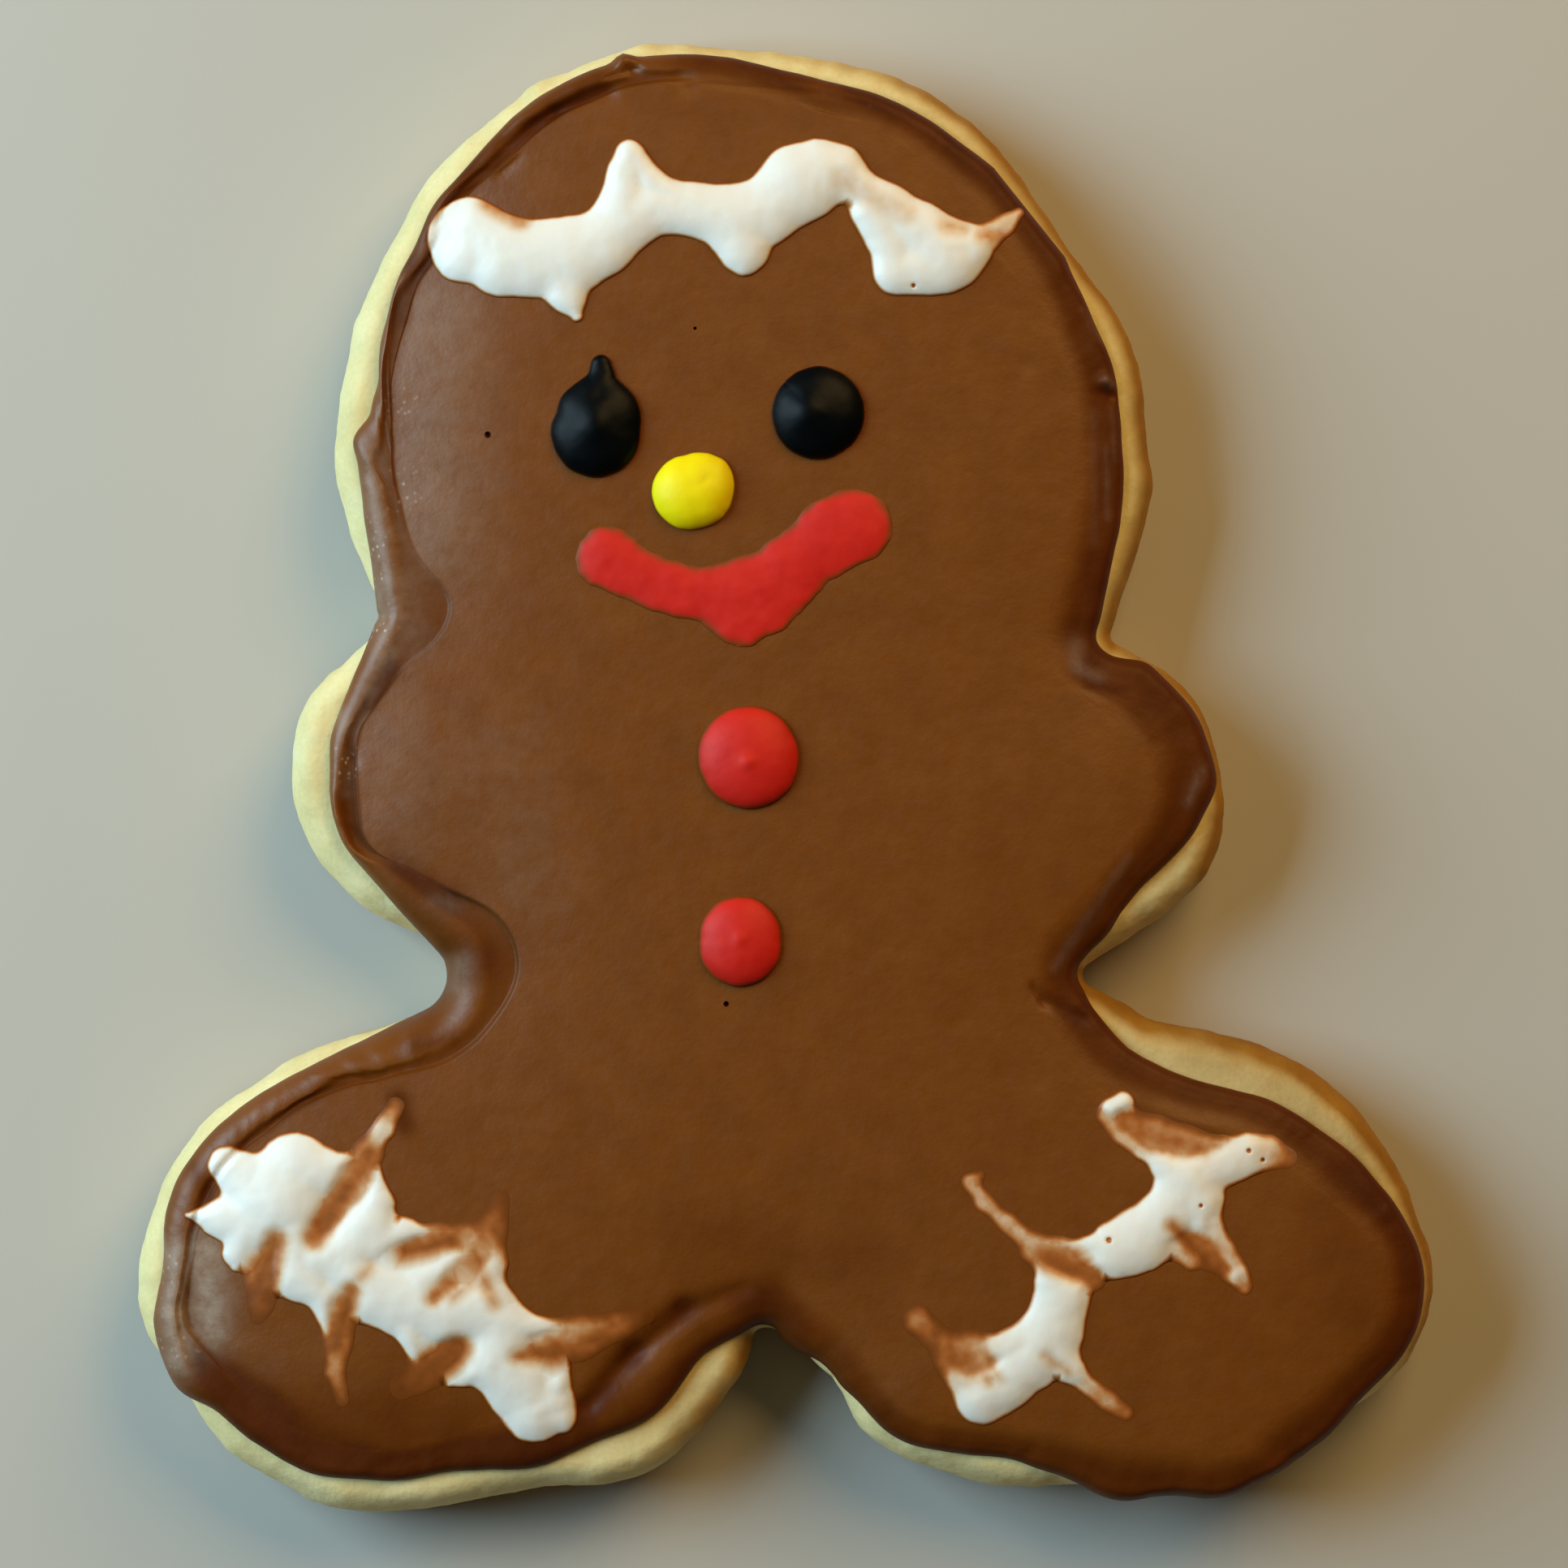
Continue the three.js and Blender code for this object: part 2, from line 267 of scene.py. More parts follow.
def ridge_relief(points, table):
    """The sum of long soft ridges: x, y at both ends, half width, height."""
    total = np.zeros(len(points))
    for x0, y0, x1, y1, half, height in table:
        way = np.array([x1 - x0, y1 - y0])
        share = np.clip((points - [x0, y0]) @ way / way.dot(way), 0, 1)
        gap = np.hypot(*(points - [x0, y0] - share[:, None] * way).T)
        total += height * np.exp(-(gap / half) ** 2)
    return total


def rough(points, size, octaves, seed):
    """Smooth unevenness with hills of that size, from about -1 to 1, at 2-D or 3-D points."""
    if points.shape[1] == 2:
        points = np.column_stack([points, np.zeros(len(points))])
    return np.array([noise.fractal(p, 1.0, 2.0, octaves) for p in points / size + seed])


def bumped(line, table, wave, seed):
    """A line with its listed bumps and a little waviness."""
    push = hills(line, table) + wave * rough(line, HAND_WAVE, 2, seed)
    return line + outward(line) * push[:, None]


def inside(points, line):
    """Which points lie inside a closed line."""
    x, y = points.T
    found = np.zeros(len(points), bool)
    for (x0, y0), (x1, y1) in zip(line, np.roll(line, -1, 0)):
        if y0 != y1:
            found ^= ((y0 > y) != (y1 > y)) & (x < (x1 - x0) * (y - y0) / (y1 - y0) + x0)
    return found


def lattice(low, high, spacing):
    """Points in rows set like bricks, from low to high."""
    rows = np.arange(low[1], high[1], spacing * math.sqrt(0.75))
    columns = np.arange(low[0], high[0], spacing)
    x, y = np.meshgrid(columns, rows)
    x[1::2] += spacing / 2
    return np.column_stack([x.ravel(), y.ravel()])


def fill(line, points=np.zeros((0, 2))):
    """Triangles over a closed line and the points inside it, as numbers into the two joined."""
    every = [Vector(p) for p in np.concatenate([line, points])]
    made = delaunay_2d_cdt(every, [], [list(range(len(line)))], 1, 1e-6)
    origin = [ids[0] for ids in made[3]]
    return [[origin[v] for v in face] for face in made[2]]


def bands(rings, size):
    """Quads between rings of size points, numbered one ring after the other."""
    numbers = np.arange(size)
    after = np.roll(numbers, -1)
    faces = []
    for ring in range(rings - 1):
        low, high = ring * size, (ring + 1) * size
        faces += np.column_stack([low + numbers, low + after, high + after, high + numbers]).tolist()
    return faces


def smooth(x, low, high):
    """0 up to low and 1 from high on, with a smooth slope between. High may be the lower of the two."""
    t = np.clip((x - low) / (high - low), 0, 1)
    return t * t * (3 - 2 * t)


def make_room(points, pits, rings, count, clear):
    """Points with those near an air pit taken out for its middle and for rings of count points round it.

    The rings and the clear ground are shares of the pit's radius.
    """
    turns = np.radians(np.arange(0, 360, 360 / count))
    circle = np.column_stack([np.cos(turns), np.sin(turns)])
    for x, y, radius in pits:
        points = points[np.hypot(points[:, 0] - x, points[:, 1] - y) > clear * radius]
        points = np.concatenate([points, [[x, y]], *([x, y] + circle * radius * ring for ring in rings)])
    return points


def pitted(points, pits, floor, wall):
    """1 on the floor of an air pit, 0 outside its wall, both shares of the pit's radius."""
    most = np.zeros(len(points))
    for x, y, radius in pits:
        gap = np.hypot(points[:, 0] - x, points[:, 1] - y)
        most = np.maximum(most, 1 - smooth(gap, floor * radius, wall * radius))
    return most


def make_piece(name, vertices, faces, slot, **marks):
    """A smooth-shaded mesh from millimetres, with its slot's finish and marks at its points for it."""
    mesh = bpy.data.meshes.new(name)
    mesh.from_pydata((np.asarray(vertices) * MM).tolist(), [], faces)
    mesh.validate()
    for mark, values in marks.items():
        mesh.attributes.new(mark, "FLOAT", "POINT").data.foreach_set("value", np.asarray(values, np.float32))
    mesh.shade_smooth()
    mesh.set_sharp_from_angle(angle=SHARP_FROM)
    mesh.materials.append(FINISHES[slot])
    piece = bpy.data.objects.new(name, mesh)
    bpy.context.scene.collection.objects.link(piece)
    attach(piece, "root")
    return piece


# ----------------------------------------
# Materials


def linear(code):
    """An sRGB hex colour as the shader's linear one."""
    parts = [int(code[i:i + 2], 16) / 255 for i in (1, 3, 5)]
    return [c / 12.92 if c <= 0.04045 else ((c + 0.055) / 1.055) ** 2.4 for c in parts] + [1.0]


def add(material, kind, settings=None, **inputs):
    """A node with its settings, and its inputs set, or linked to a socket or to a node's first output.

    An input goes by its name, with _ for a space, or by i and its number.
    """
    node = material.node_tree.nodes.new("ShaderNode" + kind)
    for key, value in (settings or {}).items():
        setattr(node, key, value)
    for key, value in inputs.items():
        socket = node.inputs[int(key[1:]) if key[1:].isdigit() else key.replace("_", " ")]
        if isinstance(value, bpy.types.Node):
            value = value.outputs[0]
        if isinstance(value, bpy.types.NodeSocket):
            material.node_tree.links.new(value, socket)
        else:
            socket.default_value = value
    return node


def new_material(name):
    """A material with no nodes but its output."""
    material = bpy.data.materials.new(name)
    material.use_nodes = True
    material.node_tree.nodes.clear()
    return material


def finish_material(material, shader):
    """The shader to the material's output."""
    add(material, "OutputMaterial", Surface=shader)
    return material


def colour_ramp(material, factor, stops):
    """A ramp of sRGB colours at their places."""
    ramp = add(material, "ValToRGB", Fac=factor)
    while len(ramp.color_ramp.elements) < len(stops):
        ramp.color_ramp.elements.new(0.5)
    for element, (place, code) in zip(ramp.color_ramp.elements, stops):
        element.position = place
        element.color = linear(code)
    return ramp


def per_metre(size_mm):
    """A texture scale that gives a pattern of that size."""
    return 1 / (size_mm * MM)


# Sizes of the patterns. Flour and sugar grains are finer: the three here are as coarse as it takes to show.
CRUMB_GRAIN = 0.35
WHITE_GRAIN = 0.35
SUGAR_GRAIN = 0.3
BAKED_PATCH = 4.0
COAT_CLOUD = 3.0
COAT_MOTTLE = 1.0
PASTE_CLOUD = 1.2
# the cells of the painted glints
GLINT_CELL = 0.5
# Below this height the biscuit is browned by the tray.
TRAY_BROWN = 3.5


def baked_biscuit():
    """Rolled sugar biscuit, baked pale: a matte, sandy crumb, golden low down, with golden painted shade on
    the side away from the window.
    """
    crumb = new_material("baked_sugar_biscuit")
    place = add(crumb, "TexCoord").outputs["Object"]
    patches = add(crumb, "TexNoise", Vector=place, Scale=per_metre(BAKED_PATCH), Detail=3.0)
    grains = add(crumb, "TexNoise", Vector=place, Scale=per_metre(CRUMB_GRAIN), Detail=3.0, Roughness=0.6)
    height = add(crumb, "SeparateXYZ", Vector=place).outputs["Z"]
    low = add(crumb, "MapRange", Value=height, From_Min=TRAY_BROWN * MM, From_Max=0.0)
    pale = colour_ramp(crumb, patches, [(0.3, "#e2cf92"), (0.55, "#ecdb9f"), (0.75, "#f1e3ac")])
    golden = colour_ramp(crumb, patches, [(0.3, "#966614"), (0.7, "#aa7a22")])
    # painted shade: golden on the side away from the window and in the listed patches
    painted_shade = add(crumb, "Attribute", {"attribute_name": "golden"}).outputs["Fac"]
    either = add(crumb, "Math", {"operation": "MAXIMUM"}, i0=low, i1=painted_shade)
    baked = add(crumb, "Mix", {"data_type": "RGBA"}, Factor=either, i6=pale, i7=golden).outputs[2]
    speckle = add(crumb, "MapRange", Value=grains, From_Min=0.25, From_Max=0.75, To_Min=0.93, To_Max=1.05)
    colour = add(
        crumb, "Mix", {"data_type": "RGBA", "blend_type": "MULTIPLY"}, Factor=1.0, i6=baked, i7=speckle,
    ).outputs[2]
    bump = add(crumb, "Bump", Height=grains, Strength=0.5, Distance=0.08 * MM)
    shader = add(
        crumb, "BsdfPrincipled", Base_Color=colour, Roughness=0.85, IOR=1.4, Normal=bump,
        Subsurface_Weight=0.15, Subsurface_Radius=(1.0, 0.7, 0.35), Subsurface_Scale=0.8 * MM,
    )
    return finish_material(crumb, shader)


def brown_royal_icing():
    """Royal icing coloured with cocoa and left to dry: smooth and satin, with darker, redder painted shade
    where it lies low.

    A pale haze is painted near its left edges, mostly painted sheen of the window light with some sugary
    bloom, and light specks on the bead are painted glints.
    """
    icing = new_material("dried_brown_royal_icing")
    place = add(icing, "TexCoord").outputs["Object"]
    clouds = add(icing, "TexNoise", Vector=place, Scale=per_metre(COAT_CLOUD), Detail=4.0, Roughness=0.55)
    mottle = add(icing, "TexNoise", Vector=place, Scale=per_metre(COAT_MOTTLE), Detail=4.0, Roughness=0.6)
    grains = add(icing, "TexNoise", Vector=place, Scale=per_metre(SUGAR_GRAIN), Detail=3.0, Roughness=0.6)
    # the coat, and painted shade where it lies low: grooves, pockets, creases, outer slopes and pits, with
    # some darker stains
    hollow = add(icing, "Attribute", {"attribute_name": "hollow"}).outputs["Fac"]
    coat = colour_ramp(icing, clouds, [(0.3, "#723c04"), (0.7, "#7b4307")])
    deep = colour_ramp(icing, clouds, [(0.3, "#4c2006"), (0.7, "#5a290a")])
    bare = add(icing, "Mix", {"data_type": "RGBA"}, Factor=hollow, i6=coat, i7=deep).outputs[2]
    # the pale haze, in patches: mostly painted sheen, some sugary bloom
    bloom = add(icing, "Attribute", {"attribute_name": "bloom"}).outputs["Fac"]
    patchy = add(icing, "MapRange", Value=mottle, From_Min=0.3, From_Max=0.7, To_Min=0.6, To_Max=1.4)
    haze = add(icing, "Math", {"operation": "MULTIPLY"}, i0=bloom, i1=patchy)
    plain = add(icing, "Mix", {"data_type": "RGBA"}, Factor=haze, i6=bare, i7=linear("#c8bcaa")).outputs[2]
    # painted glints: light specks in cells
    cells = add(icing, "TexVoronoi", Vector=place, Scale=per_metre(GLINT_CELL))
    specks = add(icing, "MapRange", Value=cells, From_Min=0.3, From_Max=0.1)
    where = add(icing, "Attribute", {"attribute_name": "crystals"}).outputs["Fac"]
    seen = add(icing, "Math", {"operation": "MULTIPLY"}, i0=specks, i1=where)
    colour = add(icing, "Mix", {"data_type": "RGBA"}, Factor=seen, i6=plain, i7=linear("#cdb9a9")).outputs[2]
    # the skin, duller in patches and in the hollows
    dull = add(icing, "MapRange", Value=mottle, From_Min=0.3, From_Max=0.7, To_Min=0.40, To_Max=0.50)
    shine = add(icing, "MapRange", Value=hollow, From_Min=0.0, From_Max=0.7, To_Min=0.42, To_Max=0.1)
    uneven = add(icing, "Bump", Height=mottle, Strength=0.5, Distance=0.1 * MM)
    bump = add(icing, "Bump", Height=grains, Strength=0.25, Distance=0.03 * MM, Normal=uneven)
    shader = add(
        icing, "BsdfPrincipled", Base_Color=colour, Roughness=dull, IOR=1.5, Specular_IOR_Level=shine,
        Normal=bump,
    )
    return finish_material(icing, shader)


def white_royal_icing():
    """Plain royal icing dropped on wet brown: soft and milky, with the brown showing where it is thin."""
    icing = new_material("dried_white_royal_icing")
    place = add(icing, "TexCoord").outputs["Object"]
    grains = add(icing, "TexNoise", Vector=place, Scale=per_metre(WHITE_GRAIN), Detail=3.0, Roughness=0.6)
    cover = add(icing, "Attribute", {"attribute_name": "cover"}).outputs["Fac"]
    colour = colour_ramp(icing, cover, [
        (0.0, "#743c07"), (0.12, "#8c4b17"), (0.3, "#b0652b"), (0.5, "#c98f5c"), (0.72, "#e2c8aa"),
        (1.0, "#f4f3ed"),
    ])
    milky = add(icing, "MapRange", Value=cover, From_Min=0.4, To_Max=0.25)
    bump = add(icing, "Bump", Height=grains, Strength=0.3, Distance=0.04 * MM)
    shader = add(
        icing, "BsdfPrincipled", Base_Color=colour, Roughness=0.4, IOR=1.45, Normal=bump,
        Subsurface_Weight=milky, Subsurface_Radius=(1.0, 0.75, 0.5), Subsurface_Scale=0.6 * MM,
    )
    return finish_material(icing, shader)


def coloured_icing(name, dark, light, roughness, shine):
    """Royal icing with paste colour, piped as a drop: it dries with a smooth skin and is thin at its edge."""
    icing = new_material(name)
    place = add(icing, "TexCoord").outputs["Object"]
    clouds = add(icing, "TexNoise", Vector=place, Scale=per_metre(PASTE_CLOUD), Detail=3.0)
    grains = add(icing, "TexNoise", Vector=place, Scale=per_metre(SUGAR_GRAIN), Detail=3.0, Roughness=0.6)
    full = colour_ramp(icing, clouds, [(0.3, dark), (0.7, light)])
    cover = add(icing, "Attribute", {"attribute_name": "cover"}).outputs["Fac"]
    colour = add(icing, "Mix", {"data_type": "RGBA"}, Factor=cover, i6=linear("#743c07"), i7=full).outputs[2]
    bump = add(icing, "Bump", Height=grains, Strength=0.25, Distance=0.03 * MM)
    shader = add(
        icing, "BsdfPrincipled", Base_Color=colour, Roughness=roughness, IOR=1.45, Specular_IOR_Level=shine,
        Normal=bump,
    )
    return finish_material(icing, shader)


FINISHES = {
    "biscuit": baked_biscuit(),
    "brown_icing": brown_royal_icing(),
    "white_icing": white_royal_icing(),
    "black_icing": coloured_icing("dried_black_royal_icing", "#000306", "#020609", 0.42, 0.14),
    "yellow_icing": coloured_icing("dried_yellow_royal_icing", "#fce600", "#ffee00", 0.5, 0.3),
    "red_icing": coloured_icing("dried_red_royal_icing", "#cf1c12", "#d92416", 0.55, 0.35),
}

# ----------------------------------------
# Biscuit: rings up the side and over the rounded rim, with crumb unevenness in the mesh

# Its rounded edges, as how far in and how far up they go: above, and below at the tray.
SHOULDER = 1.9, 3.0
SKIRT = 1.1, 1.8
# The crumb's unevenness, as its size and its height: broad waves, and grit.
CRUMB_WAVES = 2.6, 0.10
CRUMB_GRIT = 0.8, 0.05
# How far in from the edge the last rings of the top lie.
TOP_INSETS = 2.5, 3.2, 4.0
# Painted shade: the rim is coloured golden on the side facing this way, away from the window.
SHADED_WAY = 0.95, 0.3
# Patches of golden painted shade on the rim: x, y, reach, strength.
SHADE_PATCHES = [
    [36.5, -23.0, 5.0, 0.5],
    [30.0, -17.5, 5.0, 0.55],
    [24.0, -15.0, 4.0, 0.55],
    [27.0, -7.0, 4.0, 0.4],
    [-6.0, -41.0, 3.5, 0.3],
]
# Loose crumbs baked on: x, y, reach, height.
CRUMBS = [
    [-16.3, 44.5, 0.35, 0.4],
    [-15.8, 44.8, 0.3, 0.3],
]


def biscuit_surface(inset):
    """Height of the biscuit's top that far in from its edge."""
    wide, high = SHOULDER
    share = np.clip(1 - inset / wide, 0, 1)
    return BISCUIT_TOP - high + high * np.sqrt(1 - share ** 2)


def biscuit_profile():
    """The side from the tray to the top: how far in it is, how high, and its angle up from straight out."""
    wide, high = SHOULDER
    under_wide, under_high = SKIRT
    profile = []
    for angle in np.radians(np.linspace(-90, 0, 7)):
        profile.append([under_wide * (1 - math.cos(angle)), under_high * (1 + math.sin(angle)), angle])
    for level in np.linspace(under_high, BISCUIT_TOP - high, 7)[1:-1]:
        profile.append([0, level, 0])
    for angle in np.radians(np.linspace(0, 90, 15)):
        profile.append([wide * (1 - math.cos(angle)), BISCUIT_TOP - high + high * math.sin(angle), angle])
    return profile


def bake_biscuit():
    """The biscuit, flat underneath and round at the rim, with a little crumb."""
    outline = bumped(belt(0 * RIM)[0], BISCUIT_BUMPS, 0.12, 3.0)
    out = outward(outline)
    wave_size, wave = CRUMB_WAVES
    grit_size, grit = CRUMB_GRIT
    rings, golden = [], []
    for inset, level, angle in biscuit_profile():
        flat = outline - out * inset
        ring = np.column_stack([flat, np.full(len(flat), level)])
        lean = np.column_stack([out * math.cos(angle), np.full(len(flat), max(0, math.sin(angle)))])
        crumb = wave * rough(ring, wave_size, 2, 7.0) + grit * rough(ring, grit_size, 3, 9.0)
        if level > 0:
            ring = ring + lean * crumb[:, None]
        rings.append(ring)
        # painted shade, golden, on the side away from the window and in the listed patches
        side = smooth(out @ SHADED_WAY, 0.2, 0.9) * float(smooth(angle, 1.4, 0.6))
        golden.append(np.minimum(side + hills(flat, SHADE_PATCHES), 1))
    for inset in TOP_INSETS:
        flat = belt(inset + 0 * RIM)[0]
        rings.append(np.column_stack([flat, BISCUIT_TOP + wave * rough(flat, wave_size, 2, 7.0)]))
        golden.append(hills(flat, SHADE_PATCHES))
    vertices = np.concatenate(rings)
    vertices[:, 2] += hills(vertices, CRUMBS) * (vertices[:, 2] > BISCUIT_TOP - SHOULDER[1])
    faces = bands(len(rings), len(outline))
    bottom, top = rings[0][:, :2], rings[-1][:, :2]
    faces += [face[::-1] for face in fill(bottom)]
    last = (len(rings) - 1) * len(outline)
    faces += [[last + v for v in face] for face in fill(top)]
    marks = np.concatenate(golden)
    piece = make_piece("rolled_biscuit", vertices, faces, "biscuit", golden=marks)
    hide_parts("biscuit")


bake_biscuit()

# ----------------------------------------
# Brown icing: a piped border bead, a groove, and the flooded middle that sags towards its edge

FLOOD_STEP = 0.38
# How far in from its edge the flood sags.
SAG_REACH = 5.0
# The coat's edge lies this far into the biscuit, and its underside further in and lower.
EDGE_SUNK = 0.05
UNDERSIDE = 0.4, 0.25
# Rings up the bead, as shares of its width; on over the groove, as shares of the way to just short of the
# flood's edge; and over that edge, in millimetres.
BEAD_SHARES = 0, 0.01, 0.04, 0.09, 0.16, 0.25, 0.36, 0.5, 0.66, 0.84
GROOVE_SHARES = 0, 0.12, 0.25, 0.4, 0.55, 0.7, 0.85
SHORT_OF_FLOOD = 0.18
FLOOD_RINGS = -0.18, -0.12, -0.06, 0, 0.06, 0.12, 0.18, 0.26, 0.4, 0.6, 0.85
# The flood's own points lie at least this far in from its edge.
FLOOD_MARGIN = 1.1
# How much painted shade darkens the border's outer slope where it runs into the flood without a groove.
LIP_SHADE = 0.85
PIT_DEPTH = 0.35

# Knobs and dents: x, y, reach, height.
BROWN_HILLS = [
    # crown
    [-10.7, 46.2, 0.5, 0.45],
    [-10.0, 45.5, 0.5, -0.28],
    [-6.3, 44.1, 0.5, -0.14],
    [-7.0, 44.9, 0.5, -0.12],
    # left side
    [-28.0, 1.1, 0.4, -0.2],
    [-22.2, -8.3, 0.9, 0.18],
    [-40.2, -29.3, 0.4, 0.25],
    # right side
    [15.0, 36.6, 0.5, -0.5],
    [15.3, 26.3, 0.5, -0.08],
    [20.4, 25.4, 0.45, 0.4],
    [20.7, 24.4, 0.45, -0.45],
    [20.1, 24.7, 0.4, -0.25],
    [18.6, 7.4, 0.8, 0.25],
]
# Ridges and creases: x, y at both ends, half width, height.
BROWN_RIDGES = [
    # crown
    [-11.6, 43.8, -15.0, 42.7, 0.5, -0.22],
    [-15.0, 42.7, -18.2, 40.8, 0.5, -0.22],
    [-18.2, 40.8, -20.2, 38.9, 0.4, -0.15],
    [-18.6, 38.6, -17.4, 39.6, 0.2, -0.12],
    [-11.6, 44.9, -10.0, 45.4, 0.2, -0.3],
    [-5.5, 44.4, 2.0, 43.8, 0.25, -0.08],
    [2.0, 43.8, 5.0, 43.0, 0.25, -0.08],
    # right side of the head
    [18.7, 31.0, 19.8, 28.0, 0.25, 0.10],
    # right neck and arm
    [18.4, 7.0, 20.0, 6.3, 0.4, 0.1],
    [19.0, 5.8, 21.2, 5.2, 0.3, -0.12],
    [20.0, -7.4, 17.0, -12.4, 0.35, 0.06],
    [26.2, -0.2, 25.8, -1.7, 0.4, 0.12],
    [15.7, -13.6, 16.4, -14.5, 0.3, -0.2],
    [16.4, -14.5, 19.0, -15.6, 0.35, -0.15],
    # left waist
    [-20.6, -12.2, -21.2, -13.2, 0.8, 0.16],
    [-23.2, -16.0, -24.4, -16.8, 0.5, 0.12],
    # between the legs
    [-12.9, -40.4, -10.0, -37.1, 0.7, -0.35],
    [-10.0, -37.1, -6.7, -34.3, 0.7, -0.35],
    [-6.7, -34.3, -3.0, -33.0, 0.6, -0.2],
]
# Painted shade in creases, valleys and along edges, with some darker-dried icing; below zero a painted
# highlight: x, y at both ends, half width, strength.
SHADE_AND_STAINS = [
    # crown and left side of the head
    [-25.0, 29.5, -24.4, 33.0, 0.8, 0.4],
    [-24.4, 33.0, -20.9, 39.2, 0.9, 0.5],
    [-20.9, 39.2, -12.4, 44.7, 1.1, 0.6],
    [-9.0, 43.6, 3.0, 43.4, 2.0, 0.15],
    [3.0, 45.0, 9.5, 42.0, 0.9, 0.4],
    [9.5, 42.0, 14.5, 37.5, 0.9, 0.4],
    # left neck and waist
    [-25.6, 7.0, -27.0, 4.7, 0.6, 0.9],
    [-25.2, -5.7, -21.9, -7.7, 0.9, 0.6],
    [-24.2, -9.0, -20.2, -11.8, 1.7, 0.4],
    [-20.2, -11.8, -24.0, -16.2, 1.4, 0.35],
    [-24.2, -17.4, -21.5, -16.8, 0.4, 0.4],
    # left leg and foot
    [-25.1, -20.8, -24.6, -22.4, 0.8, 0.9],
    [-38.2, -25.2, -37.4, -26.8, 0.6, 0.5],
    [-37.2, -38.2, -33.0, -41.0, 1.4, 0.9],
    [-36.6, -38.6, -33.6, -40.2, 1.3, 0.5],
    [-33.0, -41.6, -28.0, -43.6, 1.2, 0.6],
    [-28.0, -43.8, -16.0, -43.4, 1.3, 0.5],
    [-30.0, -40.6, -21.0, -41.4, 2.2, 0.45],
    # between the legs
    [-12.9, -40.4, -10.0, -37.1, 0.9, 0.75],
    [-10.0, -37.1, -6.7, -34.3, 0.9, 0.7],
    [-6.7, -34.3, -1.0, -32.6, 0.9, 0.5],
    [-11.6, -41.2, -8.2, -37.4, 0.8, -0.45],
    [-8.2, -37.4, -4.0, -34.6, 0.8, -0.45],
    [-6.0, -30.5, 5.0, -30.5, 2.4, 0.25],
    [3.0, -36.6, 8.6, -40.6, 1.6, -0.35],
    # right neck, arm and waist
    [19.8, 13.4, 20.1, 10.6, 0.8, 0.3],
    [19.2, 5.8, 21.2, 5.2, 0.35, 0.5],
    [21.2, 5.2, 23.4, 2.4, 0.4, 0.3],
    [15.8, -13.7, 18.6, -15.6, 0.5, 0.4],
    # right leg and foot
    [22.6, -21.4, 28.0, -23.2, 0.35, 0.35],
    [35.6, -28.0, 36.4, -34.0, 3.0, 0.3],
]
# Painted glints: light specks where the window light glints on the bead: x, y, reach, strength.
GLINTS = [
    [-24.6, 24.0, 1.2, 0.35],
    [-24.7, 18.5, 1.2, 0.5],
    [-26.6, 17.0, 0.7, 0.6],
    [-26.4, 14.6, 0.8, 0.9],
    [-26.1, 12.0, 0.8, 0.9],
    [-26.2, 9.4, 0.8, 0.8],
    [-28.9, 0.8, 0.9, 0.9],
    [-39.6, -31.5, 0.9, 0.7],
    [-39.4, -34.0, 0.9, 0.5],
    [-39.4, -36.6, 1.1, 0.9],
]
# A pale haze on the skin, mostly painted sheen of the window light near the left edges, with some sugary
# bloom: x, y at both ends, half width, strength.
SHEEN_AND_BLOOM = [
    # left side of the head and neck
    [-22.4, 30.0, -22.6, 15.5, 3.4, 0.10],
    [-26.9, 21.0, -26.0, 8.0, 0.8, 0.14],
    [-25.2, 12.0, -24.2, 8.6, 1.3, 0.09],
    # left arm and waist
    [-26.0, 7.6, -28.3, 3.0, 0.6, 0.12],
    [-28.7, 4.0, -28.7, -1.0, 0.5, 0.12],
    [-25.4, 3.0, -24.6, -3.5, 2.6, 0.05],
    [-18.5, 1.0, -17.0, -6.0, 3.5, 0.04],
    [-22.4, -8.1, -21.7, -8.4, 0.7, 0.10],
    [-20.9, -12.2, -21.2, -13.6, 0.9, 0.12],
    # left foot
    [-37.5, -30.5, -37.3, -35.5, 1.4, 0.34],
    [-39.6, -30.5, -39.3, -37.5, 0.8, 0.24],
    [-39.9, -34.5, -38.9, -38.2, 0.9, 0.14],
    # right side of the head
    [18.9, 30.0, 20.1, 27.9, 0.2, 0.05],
    [20.4, 25.5, 20.7, 25.2, 0.25, 0.15],
    [20.9, 23.4, 21.0, 20.4, 0.2, 0.05],
    [20.4, 21.0, 20.5, 16.6, 0.22, 0.05],
    [19.6, 23.5, 19.6, 15.0, 0.3, 0.03],
    # right neck and arm
    [18.4, 8.6, 18.6, 7.0, 0.5, 0.07],
    [18.6, 7.0, 20.0, 6.3, 0.4, 0.08],
    [26.7, 0.5, 25.7, -1.7, 0.35, 0.08],
    [21.8, -5.2, 17.0, -12.4, 0.3, 0.06],
]
# Air pits: x, y, radius.
AIR_PITS = [
    [-19.3, 21.9, 0.2],
    [-4.0, -14.6, 0.17],
    [-6.0, 28.7, 0.1],
]


def across_border(edge, flood):
    """The border's width at each point of the icing's edge, and the way in to the flood's edge."""
    width = np.hypot(*(flood - edge).T)
    return width, (flood - edge) / width[:, None]


def flood_level(points, flood, sag):
    """Height of the flood, which sags towards its edge, averaged over the nearest stretches of that edge."""
    levels = []
    for some in np.array_split(points, len(points) // 1000 + 1):
        away = np.hypot(some[:, :1] - flood[:, 0], some[:, 1:] - flood[:, 1])
        extra = away - away.min(1)[:, None]
        close, wide = np.exp(-extra / 0.6), np.exp(-extra / 2)
        near = (close * away).sum(1) / close.sum(1) - 0.6
        drop = (wide * sag).sum(1) / wide.sum(1)
        levels.append(ICING_TOP - drop * np.exp(-np.maximum(near, 0) / SAG_REACH))
    return np.concatenate(levels)


